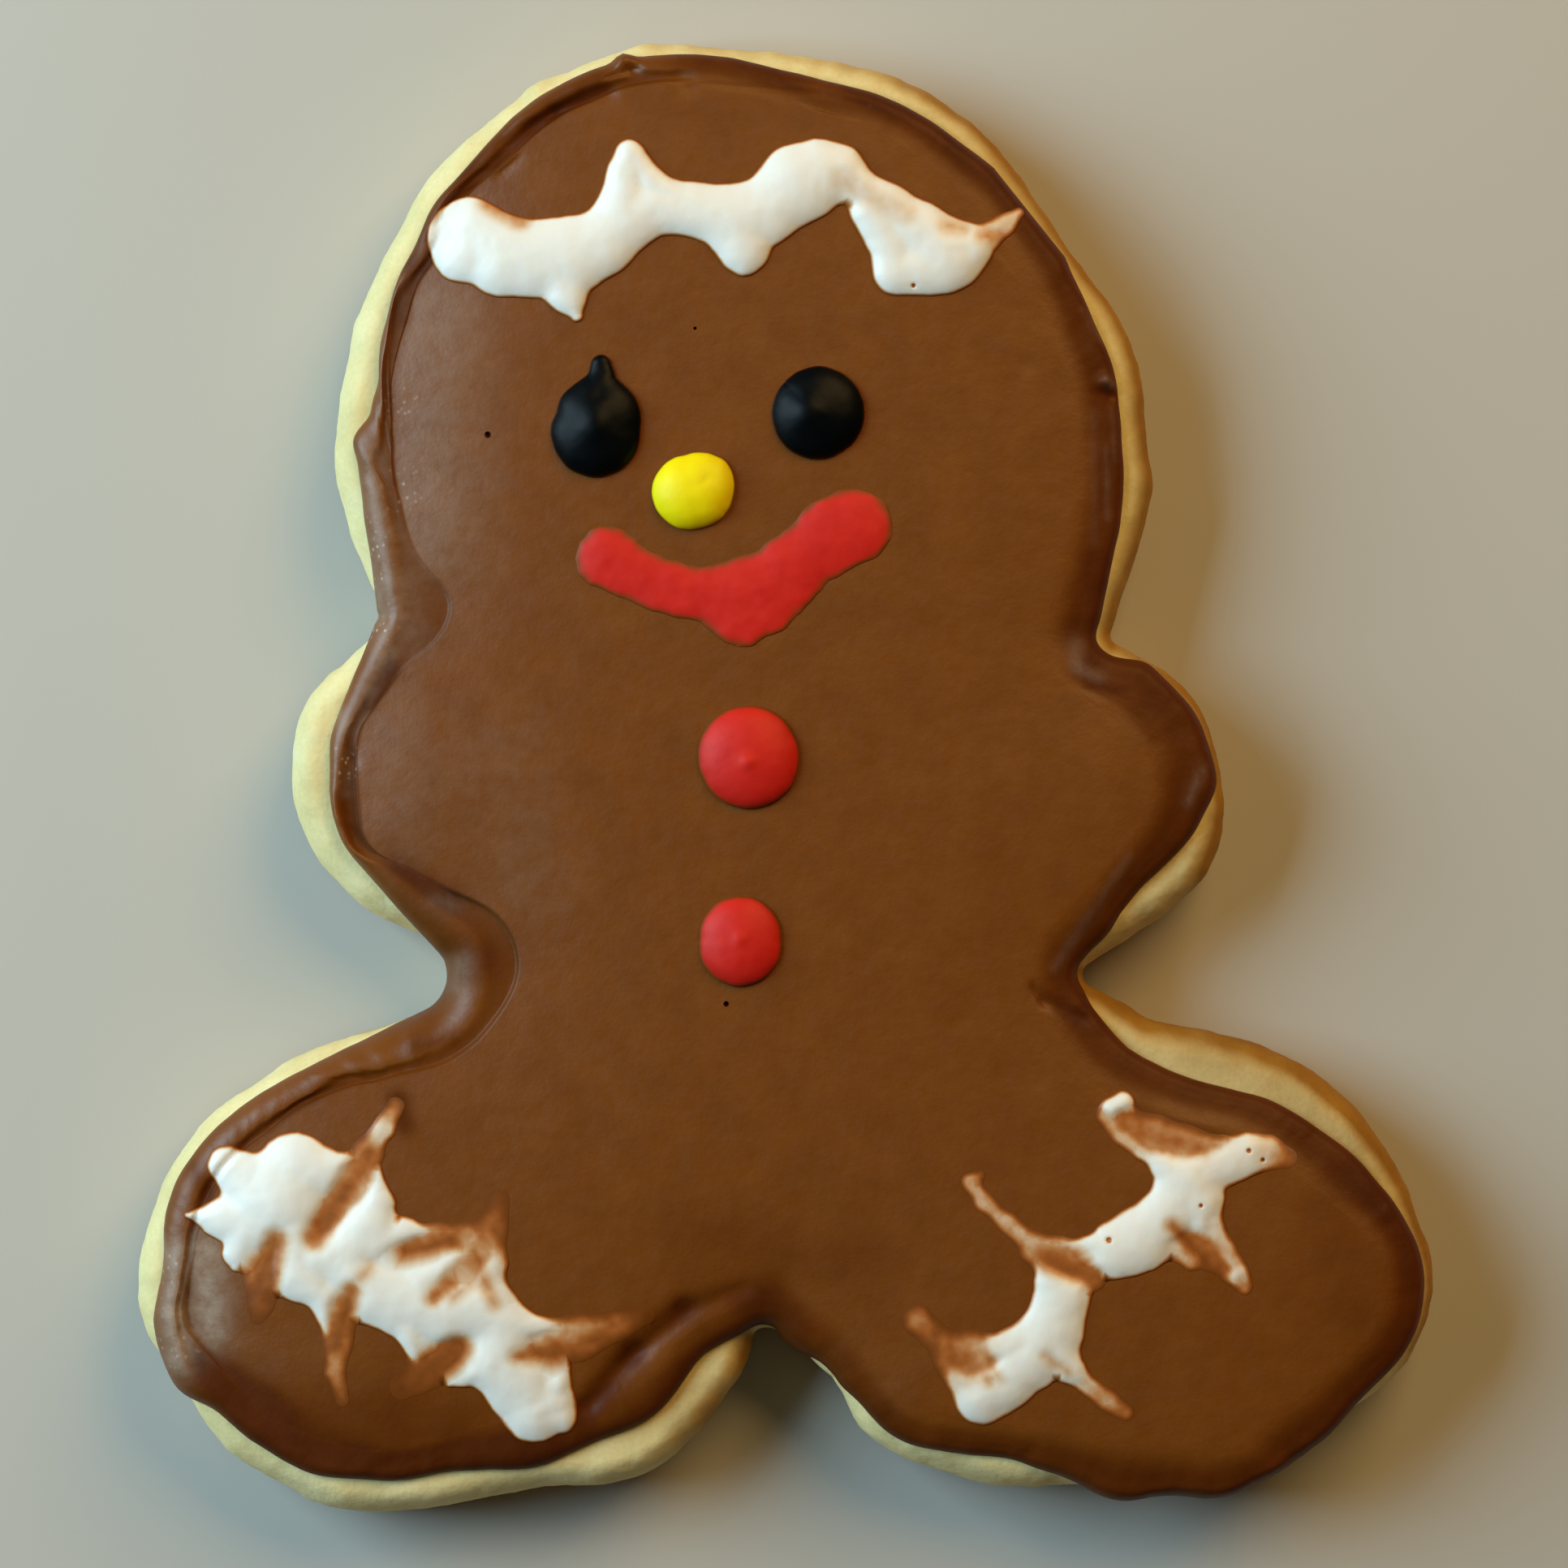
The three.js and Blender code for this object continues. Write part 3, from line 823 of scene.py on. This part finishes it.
def border_rings(edge, flood, places, sag):
    """The coat's rings from its underside over the bead and the groove to the flood, and the painted shade on
    each.
    """
    width, inwards = across_border(edge, flood)
    groove, bead = along_belt(GROOVE, places), along_belt(BEAD, places)
    levelled = np.minimum(hills(edge, LEVELLED), 1)
    # 1 where the flood stands behind a groove, 0 where the border runs up into it in a slope
    stepped = smooth(groove, 0.0, 0.08) * (1 - levelled)
    groove = groove * (1 - levelled) * (1 - np.minimum(hills(edge, SHELVES), 1))
    foot = biscuit_surface(np.maximum(along_belt(RIM, places), 0)) - EDGE_SUNK
    crest_level = along_belt(CREST, places) + 0.08 * rough(edge, 1.4, 2, 19.0)
    crest = np.minimum(bead * (1 + 0.12 * rough(edge, 1.2, 2, 29.0)), 0.75 * width)
    under_in, under_down = UNDERSIDE
    rings = [np.column_stack([edge + inwards * under_in, foot - under_down])]
    hollows = [np.zeros(len(edge))]
    lip_shade = LIP_SHADE * (1 - stepped)
    for share in BEAD_SHARES:
        far = share * crest
        level = foot + (crest_level - foot) * (1 - (1 - share) ** 2) ** 0.42
        rings.append(np.column_stack([edge + inwards * far[:, None], level]))
        hollows.append(lip_shade * (1 - smooth(far, 0.45 * width, 1.1 * width)))
    edge_level = flood_level(flood, flood, sag)
    steps = [crest + (width - SHORT_OF_FLOOD - crest) * share for share in GROOVE_SHARES]
    for far in steps + [width + more for more in FLOOD_RINGS]:
        past = far - width
        at = edge + inwards * far[:, None]
        above = np.where(past > 0, flood_level(at, flood, sag), edge_level)
        rise = stepped * smooth(past, -0.15, 0.2) + (1 - stepped) * smooth(far, 0.5 * crest, width + 0.5)
        into = smooth(far, crest, crest + 0.6 * np.minimum(width - crest, 1.2))
        dip = into * (1 - smooth(past, -0.15, 0.15))
        rings.append(np.column_stack([at, crest_level + (above - crest_level) * rise - groove * dip]))
        # painted shade down the groove and up the flood's edge
        dark = stepped * into * (1 - smooth(past, 0.12, 0.32)) * (0.4 + 0.8 * groove / (width - crest))
        hollows.append(np.clip(dark + lip_shade * (1 - smooth(far, 0.45 * width, 1.1 * width)), 0, 1))
    return rings, hollows


def brown_icing():
    """The coat of brown icing, from where its edge meets the biscuit to the middle of the flood.

    What comes back is its surface, for the piped pieces to lie on.
    """
    edge_line, places = belt(RIM)
    edge = bumped(edge_line, ICING_BUMPS, 0.07, 13.0)
    flood = bumped(belt(RIM + BORDER)[0], FLOOD_BUMPS, 0.1, 17.0)
    sag = along_belt(SAG, places)
    rings, hollows = border_rings(edge, flood, places, sag)
    size = len(edge)
    last = rings[-1][:, :2]
    width, inwards = across_border(edge, flood)
    grid = lattice(last.min(0), last.max(0), FLOOD_STEP)
    grid = grid[inside(grid, edge + inwards * (width + FLOOD_MARGIN)[:, None])]
    grid = make_room(grid, AIR_PITS, (0.5, 0.9, 1.15, 1.8), 12, 2.4)
    vertices = np.concatenate([*rings, np.column_stack([grid, flood_level(grid, flood, sag)])])
    flat = vertices[size:, :2]
    pit = pitted(flat, AIR_PITS, 0.7, 1.15)
    relief = hills(flat, BROWN_HILLS) + ridge_relief(flat, BROWN_RIDGES) + 0.03 * rough(flat, 3.5, 3, 23.0)
    vertices[size:, 2] += relief - PIT_DEPTH * pit
    faces = bands(len(rings), size)
    start = (len(rings) - 1) * size
    faces += [[start + v for v in face] for face in fill(last, grid)]
    faces += [face[::-1] for face in fill(rings[0][:, :2])]
    # painted shade: the border's, the marks of shade and stains, and dark air pits
    hollow = np.concatenate([*hollows, np.zeros(len(grid))])
    hollow[size:] = np.maximum(np.minimum(hollow[size:] + ridge_relief(flat, SHADE_AND_STAINS), 1), 2 * pit)
    piece = make_piece(
        "brown_royal_icing", vertices, faces, "brown_icing", hollow=hollow,
        crystals=hills(vertices, GLINTS), bloom=ridge_relief(vertices[:, :2], SHEEN_AND_BLOOM),
    )
    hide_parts("brown_icing")
    return BVHTree.FromPolygons(vertices.tolist(), faces, epsilon=0.001)


coat = brown_icing()

# ----------------------------------------
# Piped icing. A stroke is its cover, 1 for plain icing down to 0 for a film the brown shows through, and its
# dabs, each x, y, radius and, where the film fades, a share of the cover. Neighbouring dabs are joined by a
# tapering ridge.

# Steps of the walk along an edge, and of the points inside it.
STEP = 0.13
GRID_STEP = 0.21
# How far ridges melt into each other, and how much of that the joined ridges would swell by.
BLEND = 0.2
SWELL = 0.4
# How far in from the edge the first rings of points lie.
ROUND_IN = 0.05, 0.12, 0.21, 0.33
# The skin stands this far off the brown icing at least, and the underside lies this far in it.
LIFT = 0.015
SUNK = 0.35
# A streak fades in from this far outside its line to this far inside it, and sinks the icing by this share.
STREAK_FADE = -0.7, 0.45
STREAK_SINK = 0.35
WHITE_PIT_DEPTH = 0.12

HEADBAND = [
    (1.0, [[-21.9, 34.8, 1.35], [-20.9, 34.0, 2.3], [-20.5, 34.9, 2.3], [-18.3, 33.4, 2.65],
           [-16.6, 33.2, 2.5], [-14.2, 33.3, 2.6], [-12.1, 34.1, 2.2], [-10.2, 35.7, 2.0], [-8.6, 36.4, 1.7],
           [-6.0, 36.3, 1.8], [-3.4, 35.7, 2.3], [-1.5, 36.2, 2.2], [0.7, 38.0, 2.6], [2.1, 38.6, 2.3],
           [3.2, 38.8, 1.7], [4.4, 37.8, 1.3], [6.4, 36.4, 1.6], [8.5, 34.8, 2.0], [10.0, 33.5, 2.5],
           [11.5, 33.9, 1.6], [12.8, 34.5, 0.9]]),
    (1.0, [[-10.6, 36.2, 2.0], [-10.4, 38.6, 1.3], [-10.25, 39.9, 1.0]]),
    (1.0, [[-9.9, 39.6, 0.9], [-8.8, 38.0, 1.0], [-7.0, 36.9, 1.2]]),
    (1.0, [[-14.6, 32.6, 1.9], [-14.2, 31.0, 1.4], [-13.6, 29.5, 0.5]]),
    (1.0, [[-3.2, 35.3, 2.2], [-2.9, 33.9, 1.85], [-2.8, 32.75, 0.7]]),
    (1.0, [[5.4, 36.2, 1.6], [6.6, 34.0, 1.5], [7.0, 32.4, 1.6], [8.8, 32.7, 1.9], [10.4, 33.2, 2.1]]),
    (0.7, [[12.8, 34.7, 0.9], [13.9, 35.4, 0.7], [14.8, 36.2, 0.4]]),
]
LEFT_LEG_TRIM = [
    # the big dab and its lobes
    (1.0, [[-36.1, -25.0, 1.35], [-34.6, -26.1, 1.9], [-32.9, -27.0, 3.4], [-31.6, -25.3, 2.5],
           [-29.9, -25.4, 1.7], [-28.6, -24.7, 0.7]]),
    (1.0, [[-34.0, -28.4, 2.2], [-36.4, -28.4, 1.4], [-38.6, -28.2, 0.3]]),
    (1.0, [[-34.8, -29.2, 1.8], [-35.5, -30.7, 0.9], [-35.5, -31.4, 0.4]]),
    # the wave inwards
    (1.0, [[-32.0, -29.2, 2.0], [-31.5, -31.8, 1.9], [-29.9, -33.4, 1.1], [-29.6, -35.7, 0.35]]),
    (1.0, [[-30.6, -31.0, 1.7], [-28.4, -30.6, 1.9], [-26.9, -29.0, 2.0], [-26.3, -27.3, 1.1],
           [-26.3, -25.3, 0.3]]),
    (1.0, [[-26.6, -29.8, 1.7], [-24.6, -29.2, 0.9], [-22.5, -29.2, 0.3]]),
    (1.0, [[-28.6, -31.2, 1.8], [-26.4, -33.2, 2.1], [-24.9, -33.7, 2.2], [-22.0, -34.3, 2.4],
           [-19.6, -34.2, 2.2], [-18.3, -35.4, 1.9], [-18.6, -37.6, 2.2], [-17.3, -39.2, 2.2],
           [-16.3, -40.6, 2.15], [-15.3, -40.3, 1.7]]),
    # points drawn out by a pick
    (1.0, [[-23.6, -32.6, 1.6], [-21.6, -31.1, 0.8], [-20.2, -30.2, 0.4]]),
    (0.85, [[-19.4, -32.8, 1.5], [-18.9, -31.2, 0.9], [-18.9, -29.6, 0.5]]),
    (1.0, [[-18.0, -35.2, 1.6], [-16.2, -35.4, 0.8], [-14.2, -35.3, 0.3]]),
    (1.0, [[-14.9, -39.2, 1.2], [-14.3, -38.0, 0.4]]),
    (1.0, [[-16.2, -41.0, 1.6], [-14.6, -41.2, 1.1]]),
    (1.0, [[-24.3, -35.4, 1.3], [-23.8, -37.7, 0.35]]),
    (1.0, [[-19.6, -38.0, 1.3], [-20.8, -38.6, 0.6], [-21.8, -39.0, 0.25]]),
    # films of mixed icing
    (0.6, [[-32.9, -30.2, 1.1], [-33.7, -32.2, 1.3, 0.8], [-33.9, -33.8, 0.9, 0.3], [-34.1, -34.8, 0.5, 0]]),
    (0.6, [[-28.6, -34.0, 1.1], [-28.9, -36.2, 0.95, 0.8], [-29.1, -38.2, 0.65, 0.75],
           [-28.6, -40.0, 0.55, 0.2]]),
    (0.65, [[-29.6, -28.6, 1.2], [-28.2, -26.4, 1.4], [-27.0, -24.2, 1.1, 0.8]]),
    (0.8, [[-26.9, -24.0, 0.8, 0.7], [-26.0, -22.6, 0.75], [-25.2, -21.1, 0.6, 0.3]]),
    (0.5, [[-24.4, -30.2, 0.8], [-22.4, -29.6, 1.0], [-20.6, -29.6, 1.0], [-19.6, -30.4, 0.8]]),
    (0.5, [[-19.4, -30.6, 1.2], [-19.0, -28.9, 1.0, 0.6], [-18.6, -27.2, 0.8, 0.1]]),
    (0.65, [[-15.6, -36.4, 1.4], [-13.4, -36.0, 1.5, 0.8], [-11.0, -35.2, 1.0, 0.4], [-9.2, -34.6, 0.7, 0]]),
    (0.5, [[-21.6, -36.8, 1.3], [-23.2, -38.2, 1.2, 0.7], [-24.8, -39.2, 0.9, 0.0]]),
]
RIGHT_LEG_TRIM = [
    # the star at the top
    (1.0, [[22.7, -24.2, 0.4], [24.0, -24.9, 0.9], [25.6, -26.1, 2.1], [26.2, -27.3, 1.8],
           [26.4, -28.4, 1.1]]),
    (1.0, [[25.4, -26.6, 2.0], [24.1, -28.5, 2.0], [22.4, -29.8, 2.1], [21.0, -30.4, 1.9],
           [20.4, -30.9, 1.2]]),
    (1.0, [[20.8, -29.9, 1.1], [19.2, -30.0, 0.55], [17.6, -30.0, 0.3]]),
    (0.95, [[26.4, -25.6, 1.6], [28.2, -24.7, 1.45], [29.6, -24.2, 1.35], [30.8, -24.1, 1.1, 0.8],
            [32.0, -24.5, 0.7, 0.2]]),
    (0.85, [[27.0, -28.6, 0.9], [27.9, -30.4, 0.75, 0.8], [28.7, -31.9, 0.8], [29.2, -32.7, 0.6, 0.5]]),
    (0.8, [[24.6, -29.9, 1.1], [25.8, -31.0, 0.75, 0.8]]),
    (0.4, [[25.4, -29.6, 0.9], [27.0, -30.6, 1.0, 0.7], [28.2, -31.6, 0.8, 0.3]]),
    # the loop
    (1.0, [[20.7, -21.3, 0.85], [21.5, -20.9, 0.8]]),
    (0.75, [[20.3, -21.8, 0.65, 0.7], [21.4, -23.1, 0.6], [22.8, -24.1, 0.6]]),
    (0.5, [[21.6, -22.2, 1.1, 0.6], [23.4, -23.0, 1.3], [25.4, -23.6, 1.2], [27.6, -23.8, 0.8]]),
    # the foot
    (1.0, [[16.0, -31.0, 0.4], [16.9, -32.4, 1.2], [17.5, -33.5, 1.8], [16.9, -35.4, 2.0], [15.6, -37.2, 2.1],
           [13.8, -38.9, 1.9], [12.4, -39.8, 1.9]]),
    (1.0, [[18.0, -33.2, 1.3], [18.8, -32.5, 0.6]]),
    (1.0, [[17.0, -36.4, 1.7], [18.0, -38.0, 1.0], [19.2, -39.1, 0.4]]),
    (0.95, [[14.9, -36.6, 1.6], [13.4, -36.9, 1.2], [12.2, -37.4, 1.2]]),
    (0.9, [[12.4, -39.8, 1.6], [10.9, -38.6, 0.9, 0.9], [10.2, -37.6, 0.7, 0.5]]),
    (0.55, [[10.6, -37.3, 1.4, 0.7], [11.6, -37.1, 1.6], [12.8, -37.4, 1.4]]),
    (0.45, [[8.3, -34.9, 1.1, 0.9], [9.4, -35.9, 0.9, 0.4], [10.4, -36.8, 1.1, 0.9]]),
    # strands and films
    (0.65, [[19.0, -38.9, 0.7], [20.4, -40.0, 0.7, 0.8], [21.6, -40.8, 0.6, 0.5]]),
    (0.5, [[15.8, -30.4, 1.0], [17.6, -31.1, 1.2], [19.4, -32.1, 1.0]]),
    (0.6, [[12.3, -25.5, 0.4, 0.3], [11.6, -26.0, 0.55], [12.5, -27.3, 0.6], [14.0, -28.6, 0.65],
           [15.6, -30.0, 0.8], [17.4, -30.2, 0.7]]),
]
MOUTH = [
    (1.0, [[-11.6, 14.0, 2.1], [-10.3, 13.2, 1.6], [-9.0, 12.6, 1.5], [-7.6, 12.2, 1.6], [-6.1, 11.8, 1.6],
           [-4.9, 11.6, 1.8], [-3.4, 11.6, 2.2], [-1.8, 11.9, 2.35], [-0.2, 13.0, 2.25], [1.3, 14.2, 2.1],
           [2.9, 15.5, 2.4], [4.2, 16.0, 2.5]]),
    (1.0, [[-10.8, 13.6, 1.9], [-8.2, 11.8, 1.2], [-6.5, 11.2, 1.2]]),
    (1.0, [[-5.0, 11.2, 1.5], [-3.4, 10.0, 1.5], [-2.6, 9.6, 1.2]]),
    (1.0, [[-2.8, 10.0, 1.5], [-1.6, 10.8, 1.7], [0.0, 12.0, 1.7]]),
]
LEFT_EYE = [
    (1.0, [[-12.35, 22.05, 3.0], [-12.2, 22.85, 2.85]]),
    (1.0, [[-12.1, 24.35, 1.8], [-12.0, 25.7, 0.8], [-12.05, 26.45, 0.7]]),
]
RIGHT_EYE = [(1.0, [[1.8, 23.2, 3.0], [1.9, 23.3, 3.05]])]
NOSE = [(1.0, [[-6.4, 18.2, 2.45], [-5.9, 18.3, 2.45]]), (1.0, [[-5.9, 18.3, 2.2], [-5.2, 19.0, 1.65]])]
UPPER_BUTTON = [(1.0, [[-2.6, 1.3, 3.3], [-2.5, 1.1, 3.3]])]
LOWER_BUTTON = [(1.0, [[-3.1, -10.3, 2.7], [-3.1, -10.8, 2.75]])]

# Streaks where the pick pulled brown through the white: x, y and half width at both ends, and strength.
HEADBAND_STREAKS = [
    [-19.4, 36.7, 0.4, -17.2, 35.7, 0.6, 0.5],
    [3.4, 38.2, 0.5, 4.6, 37.4, 0.7, 0.2],
    [4.6, 37.4, 0.7, 7.6, 36.0, 0.6, 0.2],
    [10.2, 35.2, 0.4, 11.2, 35.1, 0.4, 0.4],
    [12.4, 34.6, 0.4, 13.6, 34.4, 0.4, 0.4],
]
LEFT_TRIM_STREAKS = [
    [-30.3, -29.5, 0.7, -28.3, -26.4, 0.55, 0.72],
    [-28.3, -26.4, 0.55, -26.9, -24.2, 0.5, 0.55],
    [-32.8, -29.8, 0.7, -33.7, -33.0, 0.9, 0.65],
    [-24.8, -30.6, 0.5, -21.6, -29.7, 0.5, 0.65],
    [-22.7, -33.4, 0.4, -20.4, -31.2, 0.6, 0.7],
    [-21.4, -33.4, 0.3, -19.8, -31.8, 0.4, 0.4],
    [-19.9, -31.4, 0.3, -18.8, -33.8, 0.3, 0.5],
    [-18.9, -29.0, 0.25, -18.0, -31.0, 0.25, 0.5],
    [-29.0, -36.4, 0.6, -28.0, -33.0, 0.55, 0.7],
    [-28.0, -33.2, 0.4, -26.8, -31.4, 0.3, 0.35],
    [-23.4, -38.4, 0.8, -21.2, -36.8, 0.9, 0.68],
    [-17.4, -37.2, 0.3, -14.8, -37.0, 0.8, 0.68],
    [-14.6, -37.2, 0.7, -12.0, -36.0, 0.4, 0.55],
]
RIGHT_TRIM_STREAKS = [
    [22.6, -22.8, 0.5, 26.6, -24.0, 0.4, 0.3],
    [24.6, -28.8, 0.35, 26.6, -30.9, 0.35, 0.7],
    [16.6, -31.0, 0.7, 19.4, -32.1, 0.6, 0.6],
    [16.4, -37.1, 0.1, 17.9, -38.2, 0.2, 0.5],
    [10.8, -37.2, 0.8, 12.8, -38.6, 0.5, 0.4],
    [12.6, -37.0, 0.25, 13.5, -38.6, 0.2, 0.4],
]
# Air pits in the white: x, y, radius.
WHITE_PITS = [
    [8.0, 31.4, 0.18],
    [20.5, -29.7, 0.25],
    [26.4, -27.5, 0.17],
    [29.5, -24.0, 0.2],
    [30.4, -24.6, 0.17],
]


def ridges(strokes):
    """Every ridge of the strokes: start and end, each x, y, radius, cover."""
    rows = []
    for cover, dabs in strokes:
        full = [[*dab[:3], cover * (dab[3] if len(dab) > 3 else 1)] for dab in dabs]
        rows += [[*start, *end] for start, end in zip(full, full[1:])]
    return np.array(rows)


def depth_in(points, parts):
    """How deep points lie in the ridges, below zero outside, and the half width and the cover there."""
    x0, y0, r0, cover0, x1, y1, r1, cover1 = parts.T
    way_x, way_y = x1 - x0, y1 - y0
    from_x, from_y = points[:, :1] - x0, points[:, 1:2] - y0
    share = np.clip((from_x * way_x + from_y * way_y) / (way_x ** 2 + way_y ** 2), 0, 1)
    radius = r0 + (r1 - r0) * share
    cover = cover0 + (cover1 - cover0) * share
    gap = radius - np.hypot(from_x - way_x * share, from_y - way_y * share)
    best = gap.max(1)
    weight = np.exp((gap - best[:, None]) / BLEND)
    total = weight.sum(1)
    deep = best + BLEND * (np.log(total) - SWELL)
    return deep, (weight * radius).sum(1) / total, (weight * cover).sum(1) / total


def walk_edge(depth, start):
    """The closed edge where the depth is nil, walked anticlockwise from a point inside."""
    nudge = 0.02

    def look(point):
        """The depth at a point, and the way it grows."""
        here, right, up = depth(point + np.array([[0, 0], [nudge, 0], [0, nudge]]))
        return here, np.array([right - here, up - here]) / nudge

    point = np.array(start, float)
    while depth(point[None])[0] > 0:
        point[0] -= 0.1
    line = []
    while len(line) < 12 or np.hypot(*(point - line[0])) > 0.7 * STEP:
        for _ in range(2):
            here, slope = look(point)
            point = point - here * slope / slope.dot(slope)
        line.append(point)
        point = point + STEP * np.array([slope[1], -slope[0]]) / np.hypot(*slope)
        if len(line) > 5000:
            raise RuntimeError("an icing edge did not close")
    return np.array(line)


def streaked(points, table):
    """How strongly streaks show at points, from 0 to 1."""
    most = np.zeros(len(points))
    for x0, y0, r0, x1, y1, r1, strength in table:
        gap = depth_in(points, np.array([[x0, y0, r0, 1.0, x1, y1, r1, 1.0]]))[0]
        most = np.maximum(most, strength * smooth(gap, *STREAK_FADE))
    return most


def level_under(points):
    """Height of the brown icing under each point."""
    hits = [coat.ray_cast(Vector((x, y, 20)), Vector((0, 0, -1)))[0] for x, y in points]
    return np.array([hit.z if hit else BISCUIT_TOP for hit in hits])


def piped_points(edge, depth, pits):
    """Points inside an edge: rings near it, a lattice further in, and the air pits."""
    inner = []
    for inset in ROUND_IN:
        ring = edge - outward(edge) * inset
        inner.append(ring[depth(ring) > 0.8 * inset])
    grid = lattice(edge.min(0), edge.max(0), GRID_STEP)
    inner.append(grid[(depth(grid) > ROUND_IN[-1] + 0.1) & inside(grid, edge)])
    return make_room(np.concatenate(inner), pits, (0.6, 1.0, 1.6), 8, 2)


def pipe(name, strokes, slot, node, height, power, seed, soft=0.1, wave=0.05, peaks=(), streaks=()):
    """A piped piece lying on the brown icing.

    Its height is a base and a share of the half width, and a lower power makes it flatter on top. Soft is how
    far in from the edge the cover gets full, and wave is how uneven the edge is.
    """
    parts = ridges(strokes)

    def depth(points):
        return depth_in(points, parts)[0] + wave * rough(points, 1.3, 2, seed)

    edge = walk_edge(depth, strokes[0][1][1][:2])
    size = len(edge)
    pits = [pit for pit in WHITE_PITS if depth(np.array([pit[:2]]))[0] > 2 * pit[2]]
    points = np.concatenate([edge, piped_points(edge, depth, pits)])
    deep, half, cover = depth_in(points, parts)
    deep = deep + wave * rough(points, 1.3, 2, seed)
    deep[:size] = 0
    share = np.clip(deep / half, 0, 1)
    pit = pitted(points, pits, 0.6, 1.1)
    streak = streaked(points, streaks)
    base, rate = height
    rise = (base * np.minimum(half, 1) + rate * half) * (0.04 + 0.96 * cover ** 3)
    rise = rise * (1 - (1 - share) ** 2) ** power * (1 - STREAK_SINK * streak)
    rise = rise + hills(points, peaks) + 0.03 * share * rough(points, 0.9, 2, seed + 5)
    under = level_under(points)
    top = np.column_stack([points, under + LIFT + np.maximum(rise, 0) - WHITE_PIT_DEPTH * pit])
    sunk = np.column_stack([edge, under[:size] - SUNK])
    faces = bands(2, size)
    faces += [[size + v for v in face] for face in fill(edge, points[size:])]
    faces += [face[::-1] for face in fill(edge)]
    cover = cover * smooth(deep, -0.05, soft + (1 - cover) * np.maximum(half - soft, 0)) * (1 - streak)
    cover += 0.5 * cover * (1 - cover) * rough(points, 0.7, 3, seed + 11) - 0.7 * pit
    marks = np.concatenate([np.zeros(size), cover])
    piece = make_piece(name, np.concatenate([sunk, top]), faces, slot, cover=marks)
    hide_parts(node)


pipe("white_forehead_band", HEADBAND, "white_icing", "white_headband", (0.26, 0.24), 0.75, 31.0,
     soft=0.25, streaks=HEADBAND_STREAKS)
pipe("white_trim_left", LEFT_LEG_TRIM, "white_icing", "white_trim_left_leg", (0.18, 0.2), 0.9, 37.0,
     soft=0.28, wave=0.08, streaks=LEFT_TRIM_STREAKS)
pipe("white_trim_right", RIGHT_LEG_TRIM, "white_icing", "white_trim_right_leg", (0.18, 0.2), 0.9, 41.0,
     soft=0.28, wave=0.08, streaks=RIGHT_TRIM_STREAKS)
pipe("red_mouth", MOUTH, "red_icing", "mouth", (0.12, 0.1), 0.85, 43.0, soft=0.5, wave=0.16)
pipe("black_left_eye", LEFT_EYE, "black_icing", "left_eye", (0.3, 0.32), 0.55, 47.0,
     peaks=[[-12.4, 22.5, 1.1, 0.3]])
pipe("black_right_eye", RIGHT_EYE, "black_icing", "right_eye", (0.3, 0.32), 0.55, 53.0,
     peaks=[[1.2, 23.2, 1.1, 0.3]])
pipe("yellow_nose", NOSE, "yellow_icing", "nose", (0.3, 0.45), 0.55, 59.0)
pipe("red_upper_button", UPPER_BUTTON, "red_icing", "upper_button", (0.3, 0.3), 0.55, 61.0,
     soft=0.3, peaks=[[-2.6, 0.9, 0.45, 0.18]])
pipe("red_lower_button", LOWER_BUTTON, "red_icing", "lower_button", (0.3, 0.3), 0.55, 67.0,
     soft=0.3, peaks=[[-3.1, -10.4, 0.45, 0.12]])

# ----------------------------------------
# Floor, light and camera

FLOOR_REACH = 1500.0
FRAME_WIDTH = 100.6
CAMERA_HEIGHT = 350.0
CAMERA_POINT = -0.3, -0.5
# The height at which the view is as wide as FRAME_WIDTH: about that of the brown icing.
FRAME_LEVEL = 8.5
# Metres, for where the camera stops seeing.
CAMERA_REACH = 10.0

corners = np.array([[-1, -1, 0], [1, -1, 0], [1, 1, 0], [-1, 1, 0]]) * FLOOR_REACH * MM
floor_mesh = bpy.data.meshes.new("floor")
floor_mesh.from_pydata(corners.tolist(), [], [[0, 1, 2, 3]])
floor = bpy.data.objects.new("floor", floor_mesh)
bpy.context.scene.collection.objects.link(floor)
paint = new_material("matte_floor")
finish_material(paint, add(paint, "BsdfDiffuse", Color=linear("#c4c1ba")))
floor_mesh.materials.append(paint)


def soft_light(name, towards, distance, size, watts, colour):
    """A square soft light that looks at the middle of the cookie. Its distance and size are in metres."""
    data = bpy.data.lights.new(name, "AREA")
    data.energy = watts
    data.size = size
    data.color = colour
    light = bpy.data.objects.new(name, data)
    direction = Vector(towards).normalized()
    light.location = direction * distance
    light.rotation_euler = direction.to_track_quat("Z", "Y").to_euler()
    bpy.context.scene.collection.objects.link(light)


soft_light("window", (-1.0, 0.3, 0.68), 0.42, 0.28, 2.2, (0.6, 0.86, 1.0))
soft_light("lamp", (0.5, 0.75, 0.8), 0.55, 0.33, 1.85, (1.0, 0.64, 0.24))

world = bpy.data.worlds.new("room")
world.use_nodes = True
background = world.node_tree.nodes["Background"]
background.inputs["Color"].default_value = linear("#ffd8a0")
background.inputs["Strength"].default_value = 0.05
bpy.context.scene.world = world

camera_data = bpy.data.cameras.new("camera")
camera_data.lens = camera_data.sensor_width * (CAMERA_HEIGHT - FRAME_LEVEL) / FRAME_WIDTH
camera_data.clip_end = CAMERA_REACH
camera = bpy.data.objects.new("camera", camera_data)
camera.location = Vector((*CAMERA_POINT, CAMERA_HEIGHT)) * MM
bpy.context.scene.collection.objects.link(camera)
bpy.context.scene.camera = camera
bpy.context.scene.view_settings.view_transform = "Standard"
